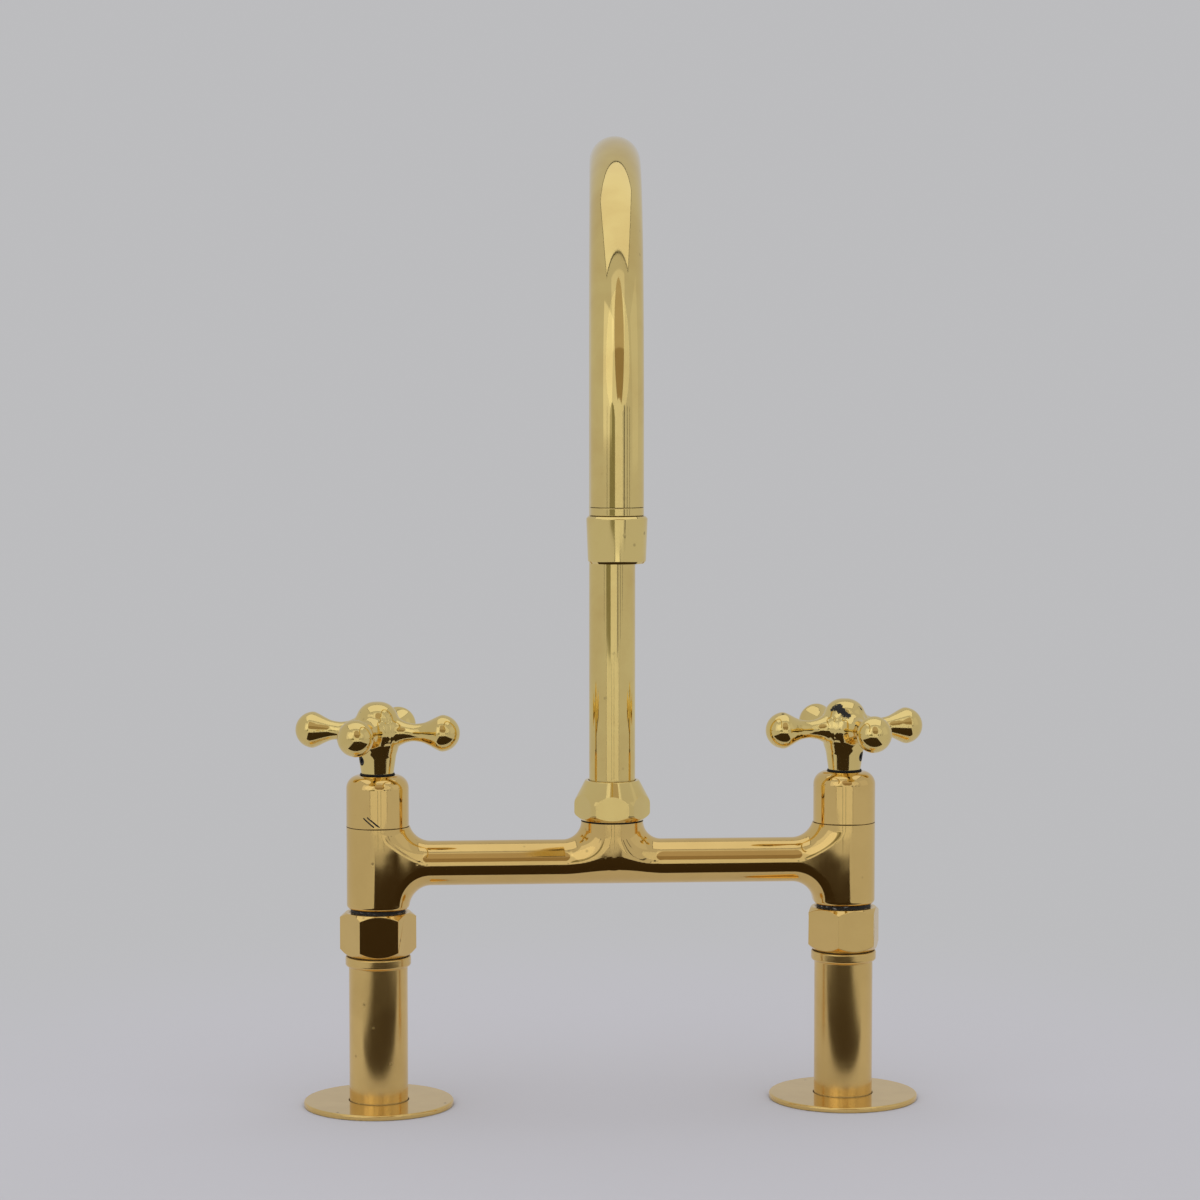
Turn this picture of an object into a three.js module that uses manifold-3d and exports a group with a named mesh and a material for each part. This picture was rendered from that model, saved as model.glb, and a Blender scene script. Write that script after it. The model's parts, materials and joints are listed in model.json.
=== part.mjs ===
// Bridge kitchen faucet in polished brass: two legs on 8 in centres, a cast bridge with a quarter-turn
// valve in each barrel, two cross handles and a swivelling gooseneck spout.
// Millimetres, +Z up. The origin lies on the deck, midway between the legs; the spout reaches towards -Y.

import * as THREE from 'three';
import { mergeVertices } from 'three/addons/utils/BufferGeometryUtils.js';
import Module from 'manifold-3d';

const wasm = await Module();
wasm.setup();

const DEGREE = Math.PI / 180;
const QUARTER_TURN = 90; // degrees
const HALF_TURN = 180;

// ---- Driving dimensions -------------------------------------------------------------------------

// Clearances
const SEAT_GAP = 0.2; // between two faces that rest on each other
const FIT_GAP = 0.25; // radial, between a fixed plug and its bore
const RUN_GAP = 0.3; // radial, between a turning piece and its bore

// Deck and what clamps the faucet to it
const SHANK_CENTRES = 203.2;
const DECK_THICKNESS = 20;
const FLANGE_DIAMETER = 65;
const FLANGE_THICKNESS = 2.3;
const FLANGE_EDGE_ROUNDING = 0.9;
const GASKET_DIAMETER = 54;
const GASKET_THICKNESS = 1.1;
const SHANK_DIAMETER = 20.9;
const SHANK_BORE = 13;
const SHANK_DROP = 62; // below the deck's upper face
const SHANK_ENGAGEMENT = 26; // inside the leg
const SHANK_END_CHAMFER = 1.2;
const DECK_WASHER_DIAMETER = 38;
const RUBBER_WASHER_THICKNESS = 2.5;
const STEEL_WASHER_THICKNESS = 1.5;
const BACK_NUT_ACROSS_FLATS = 32;
const BACK_NUT_HEIGHT = 8;

// Leg, with a collar at its top
const LEG_DIAMETER = 25.4;
const LEG_HEIGHT = 64;
const LEG_COLLAR_DIAMETER = 28.3;
const LEG_COLLAR_HEIGHT = 4.3;
const LEG_COLLAR_ROUNDING = 1.4;
const LEG_WATERWAY = 14;

// Union between the leg and the bridge
const TAILPIECE_DIAMETER = 16.8;
const TAILPIECE_BORE = 12;
const TAILPIECE_ENGAGEMENT = 16; // inside the leg
const TAILPIECE_FLANGE_DIAMETER = 21.8;
const TAILPIECE_FLANGE_THICKNESS = 2.4;
const UNION_WASHER_THICKNESS = 2;
const UNION_NUT_ACROSS_FLATS = 28.6;
const UNION_NUT_HEIGHT = 19;
const UNION_NUT_LIP = 4;
const UNION_NUT_TOP_CHAMFER = 2.2;
const UNION_NUT_FOOT_CHAMFER = 3;
const UNION_NUT_FOOT_DIAMETER = 26.6;

// Bridge casting
const BARREL_DIAMETER = 27;
const BARREL_HEIGHT = 35.5;
const BARREL_EDGE_ROUNDING = 1.6;
const SPIGOT_DIAMETER = 22.3; // threaded foot of each barrel
const SPIGOT_LENGTH = 11.6;
const INLET_BORE = 12;
const CHAMBER_BORE = 19.2; // takes the cartridge
const CHAMBER_FLOOR = 7; // thickness under the chamber, above the spigot
const BAR_RISE = 19.3; // bar axis above the barrels' lower face
const BAR_DIAMETER = 19.3;
const BAR_WATERWAY = 11;
const BARREL_TOP_FILLET = 9.5;
const BARREL_FOOT_FILLET = 10;
const BOSS_FILLET = 8;
const BOSS_DIAMETER = 27;
const BOSS_RISE = 18.1; // top of the centre boss above the bar axis
const BOSS_BOWL_RISE = 3.2; // where the boss's rounded bottom reaches its full width, above the bar axis
const BOSS_SPIGOT_DIAMETER = 24; // threaded, inside the spout nut
const BOSS_SPIGOT_HEIGHT = 8;
const SPOUT_SOCKET_BORE = 20.8;
const SPOUT_SOCKET_FLOOR = 7.3; // above the bar axis

// Cartridge: a quarter-turn valve with two ceramic discs
const CARTRIDGE_BARREL_DIAMETER = 17.4;
const CARTRIDGE_THREAD_LENGTH = 10.8;
const CARTRIDGE_HEX_ACROSS_FLATS = 19;
const CARTRIDGE_HEX_HEIGHT = 5;
const CARTRIDGE_NECK_DIAMETER = 12;
const CARTRIDGE_CAVITY_DIAMETER = 14.8;
const CARTRIDGE_FOOT_LIFT = 1.1; // above the chamber's floor
const CARTRIDGE_WINDOW_WIDTH = 8;
const CARTRIDGE_WINDOW_HEIGHT = 5;
const CARTRIDGE_WINDOW_RISE = 1.3; // window centre above the bar axis
const CARTRIDGE_WINDOW_HEADROOM = 0.4;
const SEAL_HEIGHT = 2.6;
const SEAL_BORE = 9.8;
const FIXED_DISC_THICKNESS = 2.8;
const MOVING_DISC_THICKNESS = 2.4;
const DISC_PORT_INNER_RADIUS = 1.9;
const DISC_PORT_OUTER_RADIUS = 5.6;
const DISC_PORT_ANGLE = 72;
const SPINDLE_DIAMETER = 8.4;
const DRIVER_THICKNESS = 2.2;
const SPINDLE_RING_DROP = 14; // from the cartridge's top to the O-ring
const SPINDLE_RING_SECTION = 1.5;
const CLIP_THICKNESS = 0.8;
const CLIP_DIAMETER = 10.8;
const CLIP_GROOVE_DIAMETER = 6.2;
const CLIP_MOUTH_ANGLE = 70;
const SPLINE_TEETH = 20;
const SPLINE_DIAMETER = 8;
const SPLINE_TOOTH_DEPTH = 0.35;
const SPLINE_LENGTH = 12;

// Bonnet: the domed sleeve over each cartridge
const BONNET_DIAMETER = BARREL_DIAMETER; // they are turned flush
const BONNET_HEIGHT = 22.2;
const BONNET_SHOULDER_RADIUS = 6.5;
const BONNET_THREAD_LENGTH = 7;
const BONNET_TOP_WALL = 2.2;
const BONNET_NECK_CLEARANCE = 1.6;
const BONNET_RECESS = 0.9; // from the bonnet's top down to the cartridge's

// Cross handle
const HANDLE_GAP = 0.9; // between the bonnet and the handle's neck
const HANDLE_ARM_RISE = 17.9; // arm axis above the foot of the neck
const HANDLE_NECK_FOOT_RADIUS = 7.05;
const HANDLE_NECK_TOP_RADIUS = 8.1;
const HANDLE_NECK_TOP_DROP = 10.5; // below the arm axis
const HANDLE_NECK_ROUNDING = 10;
const HANDLE_HUB_RADIUS = 9.9;
const HANDLE_HUB_ROUNDING = 3.5;
const HANDLE_HUB_DROP = 5; // widest point of the hub below the arm axis
const HANDLE_DOME_RISE = 12.9; // top of the dome above the arm axis
const HANDLE_DOME_RADIUS = 8.7;
const HANDLE_DOME_ROUNDING = 8.2;
const ARM_COUNT = 4;
const ARM_REACH = 36.9;
const ARM_ROOT_REACH = 6; // where the flare of the root begins, inside the hub
const ARM_ROOT_RADIUS = 7.6;
const ARM_WAIST_REACH = 17.6;
const ARM_WAIST_RADIUS = 3.8;
const ARM_BALL_REACH = 29.3;
const ARM_BALL_RADIUS = 7.65;
// How the arm's outline leaves and meets the ends of each stretch, as shares of the stretch's length
// and of its change in radius
const ARM_NARROWING = { leave: 0.3, leaveRadius: 0.2, meet: 0.6 };
const ARM_WIDENING = { leave: 0.42, meet: 0.68, meetRadius: 0.17 };
const ARM_CROWN = { leave: 0.38, leaveRadius: 1.07, meetRadius: 0.65 };
const SET_SCREW_DIAMETER = 4;
const SET_SCREW_RISE = 5.7; // above the foot of the neck
const SET_SCREW_SINK = 0.3; // below the neck's surface
const SET_SCREW_SOCKET_DIAMETER = 2.2;
const SET_SCREW_SOCKET_DEPTH = 1.4;
const SET_SCREW_DIRECTION = 45; // between the front arm and the outer arm

// Spout nut, a hexagon with a turned, rounded back
const SPOUT_NUT_ACROSS_FLATS = 29.6;
const SPOUT_NUT_DIAMETER = 32.9;
const SPOUT_NUT_LIFT = 0.3; // above the boss
const SPOUT_NUT_HEIGHT = 17.2;
const SPOUT_NUT_TOP_DIAMETER = 23.2;
const SPOUT_NUT_FOOT_DIAMETER = 27.6;
const SPOUT_NUT_CONE_HEIGHT = 8.8;
const SPOUT_NUT_FOOT_CHAMFER = 2.4;
const SPOUT_NUT_SHOULDER_ROUNDING = 5;
const SPOUT_NUT_FOOT_ROUNDING = 1.5;

// Spout
const SPOUT_TUBE_DIAMETER = 20;
const SPOUT_TUBE_BORE = 17.2;
const SPOUT_BEND_HEIGHT = 300; // where the riser passes into the bend
const SPOUT_BEND_RADIUS = 100;
const SPOUT_OUTLET_LENGTH = 33.2; // straight run after the bend
const SPOUT_BEND_STEPS = 20;
const BUSH_THICKNESS = 1.3;
const FERRULE_FLANGE_DIAMETER = 23.8;
const FERRULE_FLANGE_HEIGHT = 4;
const FERRULE_BORE = 14.8;
const FERRULE_TUBE_SOCKET_DEPTH = 3;
const SPOUT_RING_SECTION = 1.6;
const SPOUT_RING_HEIGHTS = [4.5, 12.5]; // above the ferrule's lower end

// Spout tip and aerator
const TIP_NECK_HEIGHT = 3;
const TIP_INSERT_LENGTH = 7;
const TIP_BORE = 14;
const TIP_THREAD_DIAMETER = 19.4;
const TIP_THREAD_LENGTH = 6.4;
const HOUSING_HEIGHT = 17.4;
const HOUSING_TOP_DIAMETER = 22.7;
const HOUSING_FOOT_DIAMETER = 21.5;
const HOUSING_LIP_HEIGHT = 2;
const HOUSING_LIP_BORE = 17.2;
const HOUSING_EDGE_CHAMFER = 0.8;
const AERATOR_WASHER_THICKNESS = 1.7;
const AERATOR_WASHER_BORE = 14.4;
const AERATOR_SCREEN_THICKNESS = 0.4;
const AERATOR_RIM_HEIGHT = 1.9;
const AERATOR_CELL_DIAMETER = 2.8;
const AERATOR_CELL_WALL = 0.75;

// Turns at rest, degrees about +Z
const LEFT_HANDLE_TURN = -18.4;
const RIGHT_HANDLE_TURN = 16.7;
const SPOUT_TURN = -3.9;
const LEFT_UNION_NUT_TURN = 1.1;
const RIGHT_UNION_NUT_TURN = 13.7;

// Facets round a full circle, and how far an arc's facets may lie from the true arc
const SHOWN_FACETS = 18;
const HIDDEN_FACETS = 12;
const SMALL_FACETS = 8;
const SPOUT_FACETS = 16;
const ARM_CURVE_STEPS = 4;
const CHORD_TOLERANCE = 0.25;
const OVERCUT = 1; // how far a cutting shape reaches past the face it opens

// ---- Finishes -------------------------------------------------------------------------------------

const finish = (color, roughness, metalness) => () =>
  new THREE.MeshStandardMaterial({ color, roughness, metalness });

const polishedBrass = finish(0xc8a45e, 0.2, 1);
const plainBrass = finish(0xb8924c, 0.42, 1);
const steel = finish(0xb9bcc0, 0.35, 1);
const rubber = finish(0x1d1d1e, 0.85, 0);
const ceramic = finish(0xe9e6df, 0.3, 0);
const acetal = finish(0xe4dfd2, 0.5, 0);
const blackPlastic = finish(0x242426, 0.55, 0);

// ---- Shape helpers --------------------------------------------------------------------------------

// A closed geometry as a solid, with its vertices shared and its faces pointing out.
function solid(geometry) {
  geometry.deleteAttribute('normal');
  geometry.deleteAttribute('uv');
  const merged = mergeVertices(geometry, 1e-4);
  const vertProperties = merged.getAttribute('position').array;
  const corners = [];
  const [a, b, c] = [new THREE.Vector3(), new THREE.Vector3(), new THREE.Vector3()];
  let volume = 0;
  for (let i = 0; i < merged.index.count; i += 3) {
    const [p, q, r] = merged.index.array.slice(i, i + 3);
    if (p === q || q === r || r === p) continue; // a flat triangle at a pole
    corners.push(p, q, r);
    a.fromArray(vertProperties, 3 * p);
    b.fromArray(vertProperties, 3 * q);
    c.fromArray(vertProperties, 3 * r);
    volume += a.dot(b.cross(c));
  }
  const triVerts = new Uint32Array(volume < 0 ? corners.reverse() : corners);
  return new wasm.Manifold(new wasm.Mesh({ numProp: 3, vertProperties, triVerts }));
}

// Points through corners [x, y, rounding], where a rounding puts an arc in place of the corner.
function outline(corners) {
  const points = [];
  corners.forEach(([x, y, rounding = 0], i) => {
    const corner = new THREE.Vector2(x, y);
    if (rounding === 0) {
      points.push(corner);
      return;
    }
    const toBefore = new THREE.Vector2(...corners.at(i - 1)).sub(corner).normalize();
    const toAfter = new THREE.Vector2(...corners[(i + 1) % corners.length]).sub(corner).normalize();
    const half = Math.acos(toBefore.dot(toAfter)) / 2;
    const centre = toBefore.clone().add(toAfter).setLength(rounding / Math.sin(half)).add(corner);
    const start = toBefore.clone().multiplyScalar(rounding / Math.tan(half)).add(corner).sub(centre);
    const sweep = Math.sign(toBefore.cross(toAfter)) * (Math.PI - 2 * half);
    const widest = 2 * Math.acos(1 - CHORD_TOLERANCE / Math.max(rounding, CHORD_TOLERANCE));
    const steps = Math.ceil(Math.abs(sweep) / widest);
    for (let step = 0; step <= steps; step++) {
      const turned = start.clone().rotateAround(new THREE.Vector2(), (-sweep * step) / steps);
      points.push(turned.add(centre));
    }
  });
  return points;
}

// A piece turned about Z from points [radius, height]; a profile that is off the axis closes on itself.
function revolve(points, facets) {
  const closed = points[0].x > 0 ? [...points, points[0].clone()] : points;
  return solid(new THREE.LatheGeometry(closed, facets).rotateX(Math.PI / 2));
}

const turned = (corners, facets = HIDDEN_FACETS) => revolve(outline(corners), facets);

// Corner radius of a faceted bore whose flats still clear a round pin of this radius.
const bored = (radius, facets = HIDDEN_FACETS) => radius / Math.cos(Math.PI / facets);

// A plain ring from one height to another.
function ring(outerRadius, boreRadius, bottom, top, facets = HIDDEN_FACETS) {
  const inner = bored(boreRadius, facets);
  return turned([[inner, bottom], [outerRadius, bottom], [outerRadius, top], [inner, top]], facets);
}

// A rod, and the hole that clears a round pin of the same radius.
const rod = (radius, bottom, top, facets = HIDDEN_FACETS) =>
  turned([[0, bottom], [radius, bottom], [radius, top], [0, top]], facets);
const hole = (radius, bottom, top, facets = HIDDEN_FACETS) =>
  rod(bored(radius, facets), bottom - OVERCUT, top + OVERCUT, facets);

// Corners of a regular polygon, the facets of a circle.
function circle(radius, facets, x = 0, y = 0) {
  return Array.from({ length: facets }, (_, i) => {
    const angle = (i * 2 * Math.PI) / facets;
    return new THREE.Vector2(x + radius * Math.cos(angle), y + radius * Math.sin(angle));
  });
}

// A ring of round section about Z, known by its outer radius.
function roundRing(outerRadius, section) {
  return revolve(circle(section / 2, 6, outerRadius - section / 2), HIDDEN_FACETS);
}

// A hexagonal prism, with two of its flats facing front and back.
function hexagon(acrossFlats, bottom, top) {
  const radius = acrossFlats / 2 / Math.cos(Math.PI / 6);
  const prism = new THREE.CylinderGeometry(radius, radius, top - bottom, 6);
  prism.rotateY(Math.PI / 6).rotateX(Math.PI / 2).translate(0, 0, (top + bottom) / 2);
  return solid(prism);
}

function block(width, depth, bottom, top) {
  const box = new THREE.BoxGeometry(width, depth, top - bottom);
  return solid(box.translate(0, 0, (top + bottom) / 2));
}

// A flat shape raised to a height.
function raised(shape, bottom, top, curveSegments = SMALL_FACETS) {
  const options = { depth: top - bottom, bevelEnabled: false, curveSegments };
  return solid(new THREE.ExtrudeGeometry(shape, options).translate(0, 0, bottom));
}

// A solid as a named mesh, raised to its height on the axis of its group.
function piece(name, shape, material, height = 0) {
  const { vertProperties, triVerts } = shape.getMesh();
  const geometry = new THREE.BufferGeometry();
  geometry.setAttribute('position', new THREE.BufferAttribute(vertProperties, 3));
  geometry.setIndex(new THREE.BufferAttribute(triVerts, 1));
  geometry.computeVertexNormals();
  const mesh = new THREE.Mesh(geometry, material());
  mesh.name = name;
  mesh.position.z = height;
  return mesh;
}

function groupOf(members, { x = 0, turn = 0 } = {}) {
  const group = new THREE.Group();
  group.position.x = x;
  group.rotation.z = turn * DEGREE;
  group.add(...members);
  return group;
}

// ---- Heights and fits that follow from the driving dimensions ---------------------------------------

const legBottom = GASKET_THICKNESS + SEAT_GAP;
const legTop = legBottom + LEG_HEIGHT;
const unionNutBottom = legTop + SEAT_GAP;
const tailpieceFlangeBottom = unionNutBottom + UNION_NUT_LIP + SEAT_GAP;
const unionWasherBottom = tailpieceFlangeBottom + TAILPIECE_FLANGE_THICKNESS + SEAT_GAP;
const spigotBottom = unionWasherBottom + UNION_WASHER_THICKNESS + SEAT_GAP;
const barrelBottom = spigotBottom + SPIGOT_LENGTH;
const barrelTop = barrelBottom + BARREL_HEIGHT;
const chamberFloor = barrelBottom + CHAMBER_FLOOR;
const barAxis = barrelBottom + BAR_RISE;
const bonnetBottom = barrelTop + SEAT_GAP;
const bonnetTop = bonnetBottom + BONNET_HEIGHT;
const cartridgeTop = bonnetTop - BONNET_RECESS;
const handleFoot = bonnetTop + HANDLE_GAP;
const sealBottom = chamberFloor + SEAT_GAP;
const fixedDiscBottom = sealBottom + SEAL_HEIGHT + SEAT_GAP;
const movingDiscBottom = fixedDiscBottom + FIXED_DISC_THICKNESS + SEAT_GAP;
const driverBottom = movingDiscBottom + MOVING_DISC_THICKNESS + SEAT_GAP;
const clipBottom = cartridgeTop + SEAT_GAP;

const bossTop = barAxis + BOSS_RISE;
const bossSpigotTop = bossTop + BOSS_SPIGOT_HEIGHT;
const spoutSocketFloor = barAxis + SPOUT_SOCKET_FLOOR;
const ferruleBottom = spoutSocketFloor + SEAT_GAP;
const bushBottom = bossSpigotTop + SEAT_GAP;
const ferruleFlangeBottom = bushBottom + BUSH_THICKNESS + SEAT_GAP;
const ferruleTop = ferruleFlangeBottom + FERRULE_FLANGE_HEIGHT;
const spoutTubeBottom = ferruleTop - FERRULE_TUBE_SOCKET_DEPTH + SEAT_GAP;
const spoutNutBottom = bossTop + SPOUT_NUT_LIFT;
const outletEnd = SPOUT_BEND_HEIGHT - SPOUT_OUTLET_LENGTH;
const tipTop = outletEnd - SEAT_GAP;
const housingTop = tipTop - TIP_NECK_HEIGHT - SEAT_GAP;
const tipBottom = tipTop - TIP_NECK_HEIGHT - TIP_THREAD_LENGTH;
const aeratorWasherTop = tipBottom - SEAT_GAP;
const screenTop = aeratorWasherTop - AERATOR_WASHER_THICKNESS - SEAT_GAP;
const aeratorRimTop = screenTop - AERATOR_SCREEN_THICKNESS - SEAT_GAP;

const discRadius = CARTRIDGE_CAVITY_DIAMETER / 2 - RUN_GAP;
const spindleBoreRadius = SPINDLE_DIAMETER / 2 + RUN_GAP;

// ---- Under the deck and up to the union --------------------------------------------------------------

// The flange is dished underneath for the gasket, so its rim and the gasket both lie on the deck.
function flange() {
  const rim = FLANGE_DIAMETER / 2;
  const recess = bored(GASKET_DIAMETER / 2 + FIT_GAP, SHOWN_FACETS);
  const bore = bored(LEG_DIAMETER / 2 + FIT_GAP, SHOWN_FACETS);
  const web = GASKET_THICKNESS + SEAT_GAP;
  return turned(
    [
      [recess, 0],
      [rim, 0],
      [rim, FLANGE_THICKNESS, FLANGE_EDGE_ROUNDING],
      [bore, FLANGE_THICKNESS],
      [bore, web],
      [recess, web],
    ],
    SHOWN_FACETS,
  );
}

function gasket() {
  return ring(GASKET_DIAMETER / 2, SHANK_DIAMETER / 2 + FIT_GAP, 0, GASKET_THICKNESS, SHOWN_FACETS);
}

// The shank is screwed into the leg and passes through the deck.
function shank() {
  const radius = SHANK_DIAMETER / 2;
  const bore = bored(SHANK_BORE / 2);
  return turned([
    [bore, -SHANK_DROP],
    [radius - SHANK_END_CHAMFER, -SHANK_DROP],
    [radius, -SHANK_DROP + SHANK_END_CHAMFER],
    [radius, legBottom + SHANK_ENGAGEMENT],
    [bore, legBottom + SHANK_ENGAGEMENT],
  ]);
}

function backNut() {
  const corner = BACK_NUT_ACROSS_FLATS / 2 / Math.cos(Math.PI / 6);
  const flat = BACK_NUT_ACROSS_FLATS / 2;
  const chamfer = corner - flat;
  const blank = turned([
    [0, 0],
    [flat, 0],
    [corner + chamfer, 2 * chamfer],
    [corner + chamfer, BACK_NUT_HEIGHT],
    [0, BACK_NUT_HEIGHT],
  ]);
  const bore = hole(SHANK_DIAMETER / 2 + FIT_GAP, 0, BACK_NUT_HEIGHT);
  return hexagon(BACK_NUT_ACROSS_FLATS, 0, BACK_NUT_HEIGHT).intersect(blank).subtract(bore);
}

// The leg: a tube with a collar, bored for the shank below and for the tailpiece above.
function leg() {
  const radius = LEG_DIAMETER / 2;
  const collar = LEG_COLLAR_DIAMETER / 2;
  const shankBore = bored(SHANK_DIAMETER / 2 + FIT_GAP, SHOWN_FACETS);
  const tailBore = bored(TAILPIECE_DIAMETER / 2 + FIT_GAP, SHOWN_FACETS);
  const waterway = bored(LEG_WATERWAY / 2, SHOWN_FACETS);
  const shankStop = SHANK_ENGAGEMENT + SEAT_GAP;
  const tailStop = LEG_HEIGHT - TAILPIECE_ENGAGEMENT - SEAT_GAP;
  return turned(
    [
      [shankBore, 0],
      [radius, 0],
      [radius, LEG_HEIGHT - LEG_COLLAR_HEIGHT],
      [collar, LEG_HEIGHT - LEG_COLLAR_HEIGHT, LEG_COLLAR_ROUNDING],
      [collar, LEG_HEIGHT],
      [tailBore, LEG_HEIGHT],
      [tailBore, tailStop],
      [waterway, tailStop],
      [waterway, shankStop],
      [shankBore, shankStop],
    ],
    SHOWN_FACETS,
  );
}

// The tailpiece hangs its flange on the union nut's lip and reaches down into the leg.
function tailpiece() {
  const bore = bored(TAILPIECE_BORE / 2);
  const neck = TAILPIECE_DIAMETER / 2;
  const head = TAILPIECE_FLANGE_DIAMETER / 2;
  const foot = legTop - TAILPIECE_ENGAGEMENT - tailpieceFlangeBottom;
  return turned([
    [bore, foot],
    [neck, foot],
    [neck, 0],
    [head, 0],
    [head, TAILPIECE_FLANGE_THICKNESS],
    [bore, TAILPIECE_FLANGE_THICKNESS],
  ]);
}

function unionWasher() {
  return ring(TAILPIECE_FLANGE_DIAMETER / 2, TAILPIECE_BORE / 2, 0, UNION_WASHER_THICKNESS);
}

// The union nut: a hexagon cut by one turned profile, with a lip inside its foot.
function unionNut() {
  const corner = UNION_NUT_ACROSS_FLATS / 2 / Math.cos(Math.PI / 6) + FIT_GAP;
  const flat = UNION_NUT_ACROSS_FLATS / 2;
  const blank = turned(
    [
      [0, 0],
      [UNION_NUT_FOOT_DIAMETER / 2, 0],
      [corner, UNION_NUT_FOOT_CHAMFER],
      [corner, UNION_NUT_HEIGHT - UNION_NUT_TOP_CHAMFER],
      [flat - SEAT_GAP, UNION_NUT_HEIGHT],
      [0, UNION_NUT_HEIGHT],
    ],
    SHOWN_FACETS,
  );
  const thread = bored(SPIGOT_DIAMETER / 2 + FIT_GAP);
  const neck = bored(TAILPIECE_DIAMETER / 2 + FIT_GAP);
  const bore = turned([
    [0, -OVERCUT],
    [neck, -OVERCUT],
    [neck, UNION_NUT_LIP],
    [thread, UNION_NUT_LIP],
    [thread, UNION_NUT_HEIGHT + OVERCUT],
    [0, UNION_NUT_HEIGHT + OVERCUT],
  ]);
  return hexagon(UNION_NUT_ACROSS_FLATS, 0, UNION_NUT_HEIGHT).intersect(blank).subtract(bore);
}

// ---- Bridge casting ----------------------------------------------------------------------------------

const barRadius = BAR_DIAMETER / 2;
const barrelRadius = BARREL_DIAMETER / 2;
const bossRadius = BOSS_DIAMETER / 2;
const barrelX = SHANK_CENTRES / 2;

// Horizontal run of a fillet that starts on the bar and climbs to a height beside an upright.
const filletRun = (radius, climb) => Math.sqrt(radius ** 2 - Math.max(0, radius - climb) ** 2);

// Height of the fillet above the bar at a distance beyond the upright's side.
function filletRise(radius, climb, distance) {
  const along = Math.min(filletRun(radius, climb) - distance, radius);
  return along <= 0 ? 0 : radius - Math.sqrt(radius ** 2 - along ** 2);
}

const smoothStep = (t) => t * t * (3 - 2 * t);

// The bar with its flares: a lathe about X whose sections are then given their own width and height.
function bar() {
  const topClimb = BARREL_HEIGHT - BAR_RISE - barRadius;
  const footClimb = BAR_RISE - barRadius - BARREL_EDGE_ROUNDING;
  const bossClimb = BOSS_RISE - barRadius;
  const barrelFlare = barrelRadius + filletRun(BARREL_FOOT_FILLET, footClimb);
  const bossFlare = bossRadius + filletRun(BOSS_FILLET, bossClimb);
  // Stations along each flare, as shares of its reach from the upright's axis
  const barrelSteps = [0, 0.25, 0.45, 0.6, 0.68, 0.77, 0.88, 1];
  const bossSteps = [0, 0.25, 0.45, 0.6, 0.66, 0.74, 0.86, 1];
  const stations = [
    ...barrelSteps.map((t) => t * barrelFlare - barrelX),
    ...bossSteps.map((t) => -t * bossFlare).reverse(),
  ];
  const mirrored = stations.slice(0, -1).reverse().map((x) => -x);
  const along = [...stations, ...mirrored];
  const profile = [[0, along[0]], ...along.map((x) => [1, x]), [0, along.at(-1)]];
  const flared = new THREE.LatheGeometry(profile.map((p) => new THREE.Vector2(...p)), SHOWN_FACETS);
  flared.rotateZ(-Math.PI / 2);
  const position = flared.getAttribute('position');
  for (let i = 0; i < position.count; i++) {
    const x = position.getX(i);
    const fromBarrel = barrelX - Math.abs(x);
    const atBarrel = smoothStep(Math.max(0, 1 - fromBarrel / barrelFlare));
    const atBoss = smoothStep(Math.max(0, 1 - Math.abs(x) / bossFlare));
    const beside = THREE.MathUtils.lerp(barRadius, barrelRadius - SEAT_GAP, atBarrel);
    const width = THREE.MathUtils.lerp(beside, bossRadius - SEAT_GAP, atBoss);
    const lift = BOSS_BOWL_RISE * atBoss; // the widest point rises to the boss's bowl
    const barrelTopRise = filletRise(BARREL_TOP_FILLET, topClimb, fromBarrel - barrelRadius);
    const bossRise = filletRise(BOSS_FILLET, bossClimb, Math.abs(x) - bossRadius);
    const footRise = filletRise(BARREL_FOOT_FILLET, footClimb, fromBarrel - barrelRadius);
    const rise = position.getZ(i) > 0 ? barrelTopRise + bossRise - lift : footRise + lift;
    position.setY(i, position.getY(i) * width);
    position.setZ(i, lift + position.getZ(i) * (barRadius + rise));
  }
  const room = block(2 * SHANK_CENTRES, 2 * BARREL_DIAMETER, BARREL_EDGE_ROUNDING - BAR_RISE, BOSS_RISE);
  const overBarrels = block(SHANK_CENTRES + 2 * BARREL_DIAMETER, 2 * BARREL_DIAMETER, -BAR_RISE, BOSS_RISE);
  const overBoss = block(SHANK_CENTRES / 2, 2 * BARREL_DIAMETER, BARREL_HEIGHT - BAR_RISE, BOSS_RISE);
  const belowTop = block(2 * SHANK_CENTRES, 2 * BARREL_DIAMETER, -BAR_RISE, BARREL_HEIGHT - BAR_RISE);
  return solid(flared).intersect(room).intersect(overBarrels).intersect(belowTop.add(overBoss));
}

// The centre boss is upright, with a bowl-shaped bottom that ends level with the underside of the bar.
function boss() {
  const steps = 6;
  const depth = BOSS_BOWL_RISE + barRadius - SEAT_GAP;
  const points = [];
  for (let step = 0; step <= steps; step++) {
    const angle = (QUARTER_TURN * (step / steps - 1)) * DEGREE;
    const height = BOSS_BOWL_RISE + depth * Math.sin(angle);
    points.push(new THREE.Vector2(bossRadius * Math.cos(angle), height));
  }
  points[0].x = 0;
  points.push(new THREE.Vector2(bossRadius, BOSS_RISE), new THREE.Vector2(0, BOSS_RISE));
  const spigot = BOSS_SPIGOT_DIAMETER / 2;
  const threaded = rod(spigot, BOSS_RISE - OVERCUT, BOSS_RISE + BOSS_SPIGOT_HEIGHT);
  return revolve(points, SHOWN_FACETS).add(threaded);
}

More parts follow.
